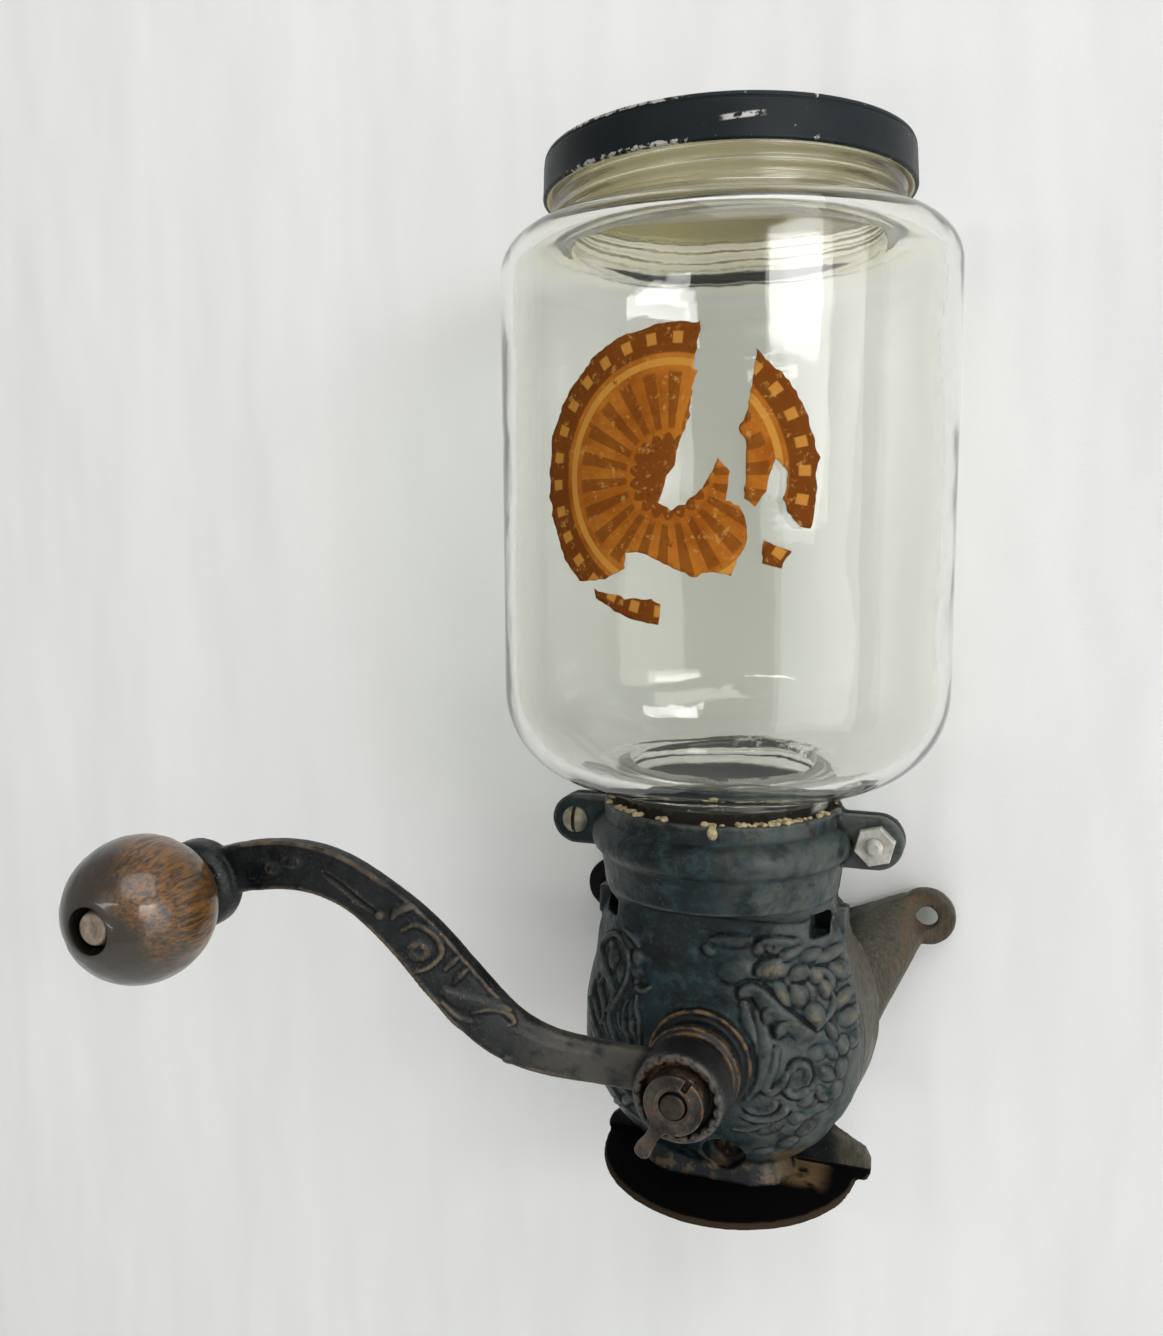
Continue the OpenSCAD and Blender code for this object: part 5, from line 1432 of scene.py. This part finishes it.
def inner_parts(steel, zinc, dark):
    """Materials for the CAD nodes that stay as they are, inside the mill."""
    iron = bare_iron("oily_iron", (0.030, 0.026, 0.022), (0.115, 0.098, 0.080), (0.10, 0.055, 0.028))
    looks = {"rotating_burr": iron, "fixed_burr": iron, "feed_worm": iron, "burr_pin": steel,
             "spring_washer": zinc, "thrust_washer": zinc, "burr_screws": dark}
    for node, look in looks.items():
        mesh = frame["nodes"][node].data
        mesh.materials.clear()
        mesh.materials.append(look)


# Camera, lights and backdrop

CAMERA_LENS, CAMERA_AT = 30.434, (0.071997, -0.367605, 0.119623)
CAMERA_AXES = ((0.93689072, 0.34957478, -0.00576559), (-0.03399752, 0.10750429, 0.99362317),
               (0.34796543, -0.93072031, 0.11260445))
# Soft lamps: name, degrees right of straight ahead, degrees up, distance and size in m, power in W
LAMPS = [
    ("window", 46.5, 10.5, 1.5, (0.78, 0.45), 3.4), ("window_top", 45, 14.5, 1.47, (0.60, 0.21), 2.25),
    ("upper_pane", -16, 14.2, 0.9, (0.5, 0.035), 0.55), ("lower_pane", -12, -11.9, 0.9, (0.4, 0.028), 0.34),
    ("right_wall", 60, -2, 2.5, (1.8, 2.2), 24.0), ("overhead", 35, 52, 1.9, (1.6, 1.2), 16.0),
]
ROOM_LEVEL, SEEN_LEVEL = 0.34, 0.9


def camera():
    """The photograph's camera, fitted to the round edges of the lid, jar and flange; its axes are rows."""
    data = bpy.data.cameras.new("camera")
    data.lens = CAMERA_LENS
    data.sensor_width = 36.0
    data.clip_start = 0.01
    obj = bpy.data.objects.new("camera", data)
    turn = Matrix(CAMERA_AXES).transposed().to_4x4()
    obj.matrix_world = Matrix.Translation(CAMERA_AT) @ turn
    bpy.context.scene.collection.objects.link(obj)
    bpy.context.scene.camera = obj


def lamp(name, azimuth, elevation, distance, size, power):
    """A soft rectangular lamp that faces the jar; azimuth is to the right of straight ahead, in degrees."""
    data = bpy.data.lights.new(name, "AREA")
    data.shape = "RECTANGLE"
    data.size, data.size_y = size
    data.energy = power
    a, e = math.radians(azimuth), math.radians(elevation)
    back = np.array([math.sin(a) * math.cos(e), -math.cos(a) * math.cos(e), math.sin(e)])
    obj = bpy.data.objects.new(name, data)
    aim = np.array([0.0, JAR_Y, BODY_Z + 60]) * MM
    obj.location = aim + distance * back
    right = np.array([math.cos(a), math.sin(a), 0.0])
    up = np.cross(back, right)
    turn = Matrix((tuple(right), tuple(up), tuple(back))).transposed()
    obj.rotation_euler = turn.to_euler()
    bpy.context.scene.collection.objects.link(obj)


def lights():
    for settings in LAMPS:
        lamp(*settings)
    world = bpy.data.worlds.new("room")
    world.use_nodes = True
    bpy.context.scene.world = world
    tree = world.node_tree
    back = tree.nodes["Background"]
    back.inputs["Color"].default_value = (1.0, 1.0, 0.99, 1.0)
    path = tree.nodes.new("ShaderNodeLightPath")
    level = tree.nodes.new("ShaderNodeMapRange")
    level.inputs["To Min"].default_value = ROOM_LEVEL
    level.inputs["To Max"].default_value = SEEN_LEVEL
    tree.links.new(path.outputs["Is Camera Ray"], level.inputs["Value"])
    tree.links.new(level.outputs["Result"], back.inputs["Strength"])


def backdrop():
    """A pale cloth wall that sweeps out into a floor, seen from the front only."""
    wall, near, low, bend = 0.004, 1.2, -0.62, 0.2
    side = [[wall, 1.3], [wall, 0.6], [wall, low + bend]]
    side += arc(wall - bend, low + bend, bend, 0, -90, 11)[1:]
    side += [[-near, low]]
    across = np.linspace(-1.6, 1.6, 9)
    points = [[x, y, z] for y, z in side for x in across]
    count = len(across)
    faces = [[(i + 1) * count + j, (i + 1) * count + j + 1, i * count + j + 1, i * count + j]
             for i in range(len(side) - 1) for j in range(count - 1)]
    mesh = bpy.data.meshes.new("backdrop")
    mesh.from_pydata(points, [], faces)
    mesh.shade_smooth()
    obj = bpy.data.objects.new("backdrop", mesh)
    bpy.context.scene.collection.objects.link(obj)
    s = Shade("pale_cloth")
    weave = s.noise(1.0, 3, 0.6)
    fold = s.noise(70, 3, 0.5, s.stretched(1.0, 1.0, 0.3))
    cloth = s.mix(fold, (0.80, 0.805, 0.79), (0.86, 0.865, 0.85))
    # painted shade: the cloth darkened toward the right, for less light falling there
    grey = s.times(s.over(s.x, 20, 200), 0.85)
    s.set(Base_Color=s.mix(grey, cloth, (0.70, 0.705, 0.70)), Roughness=0.95)
    s.bump((weave, 0.05), (fold, 5.0))
    s.see_through(s.add("ShaderNodeNewGeometry").outputs["Backfacing"])
    mesh.materials.append(s.mat)


camera()
backdrop()
lights()
front_casting()
back_casting()
jar()
lid()
liner()
paper_label()
cement_ring()
crank()
wooden_knob()
rivet()
thumb_nut()
shaft_look = spindle()
zinc_look, dark_look = fasteners()
wire_spring(shaft_look)
inner_parts(shaft_look, zinc_look, dark_look)

bpy.context.scene.view_settings.view_transform = "Standard"
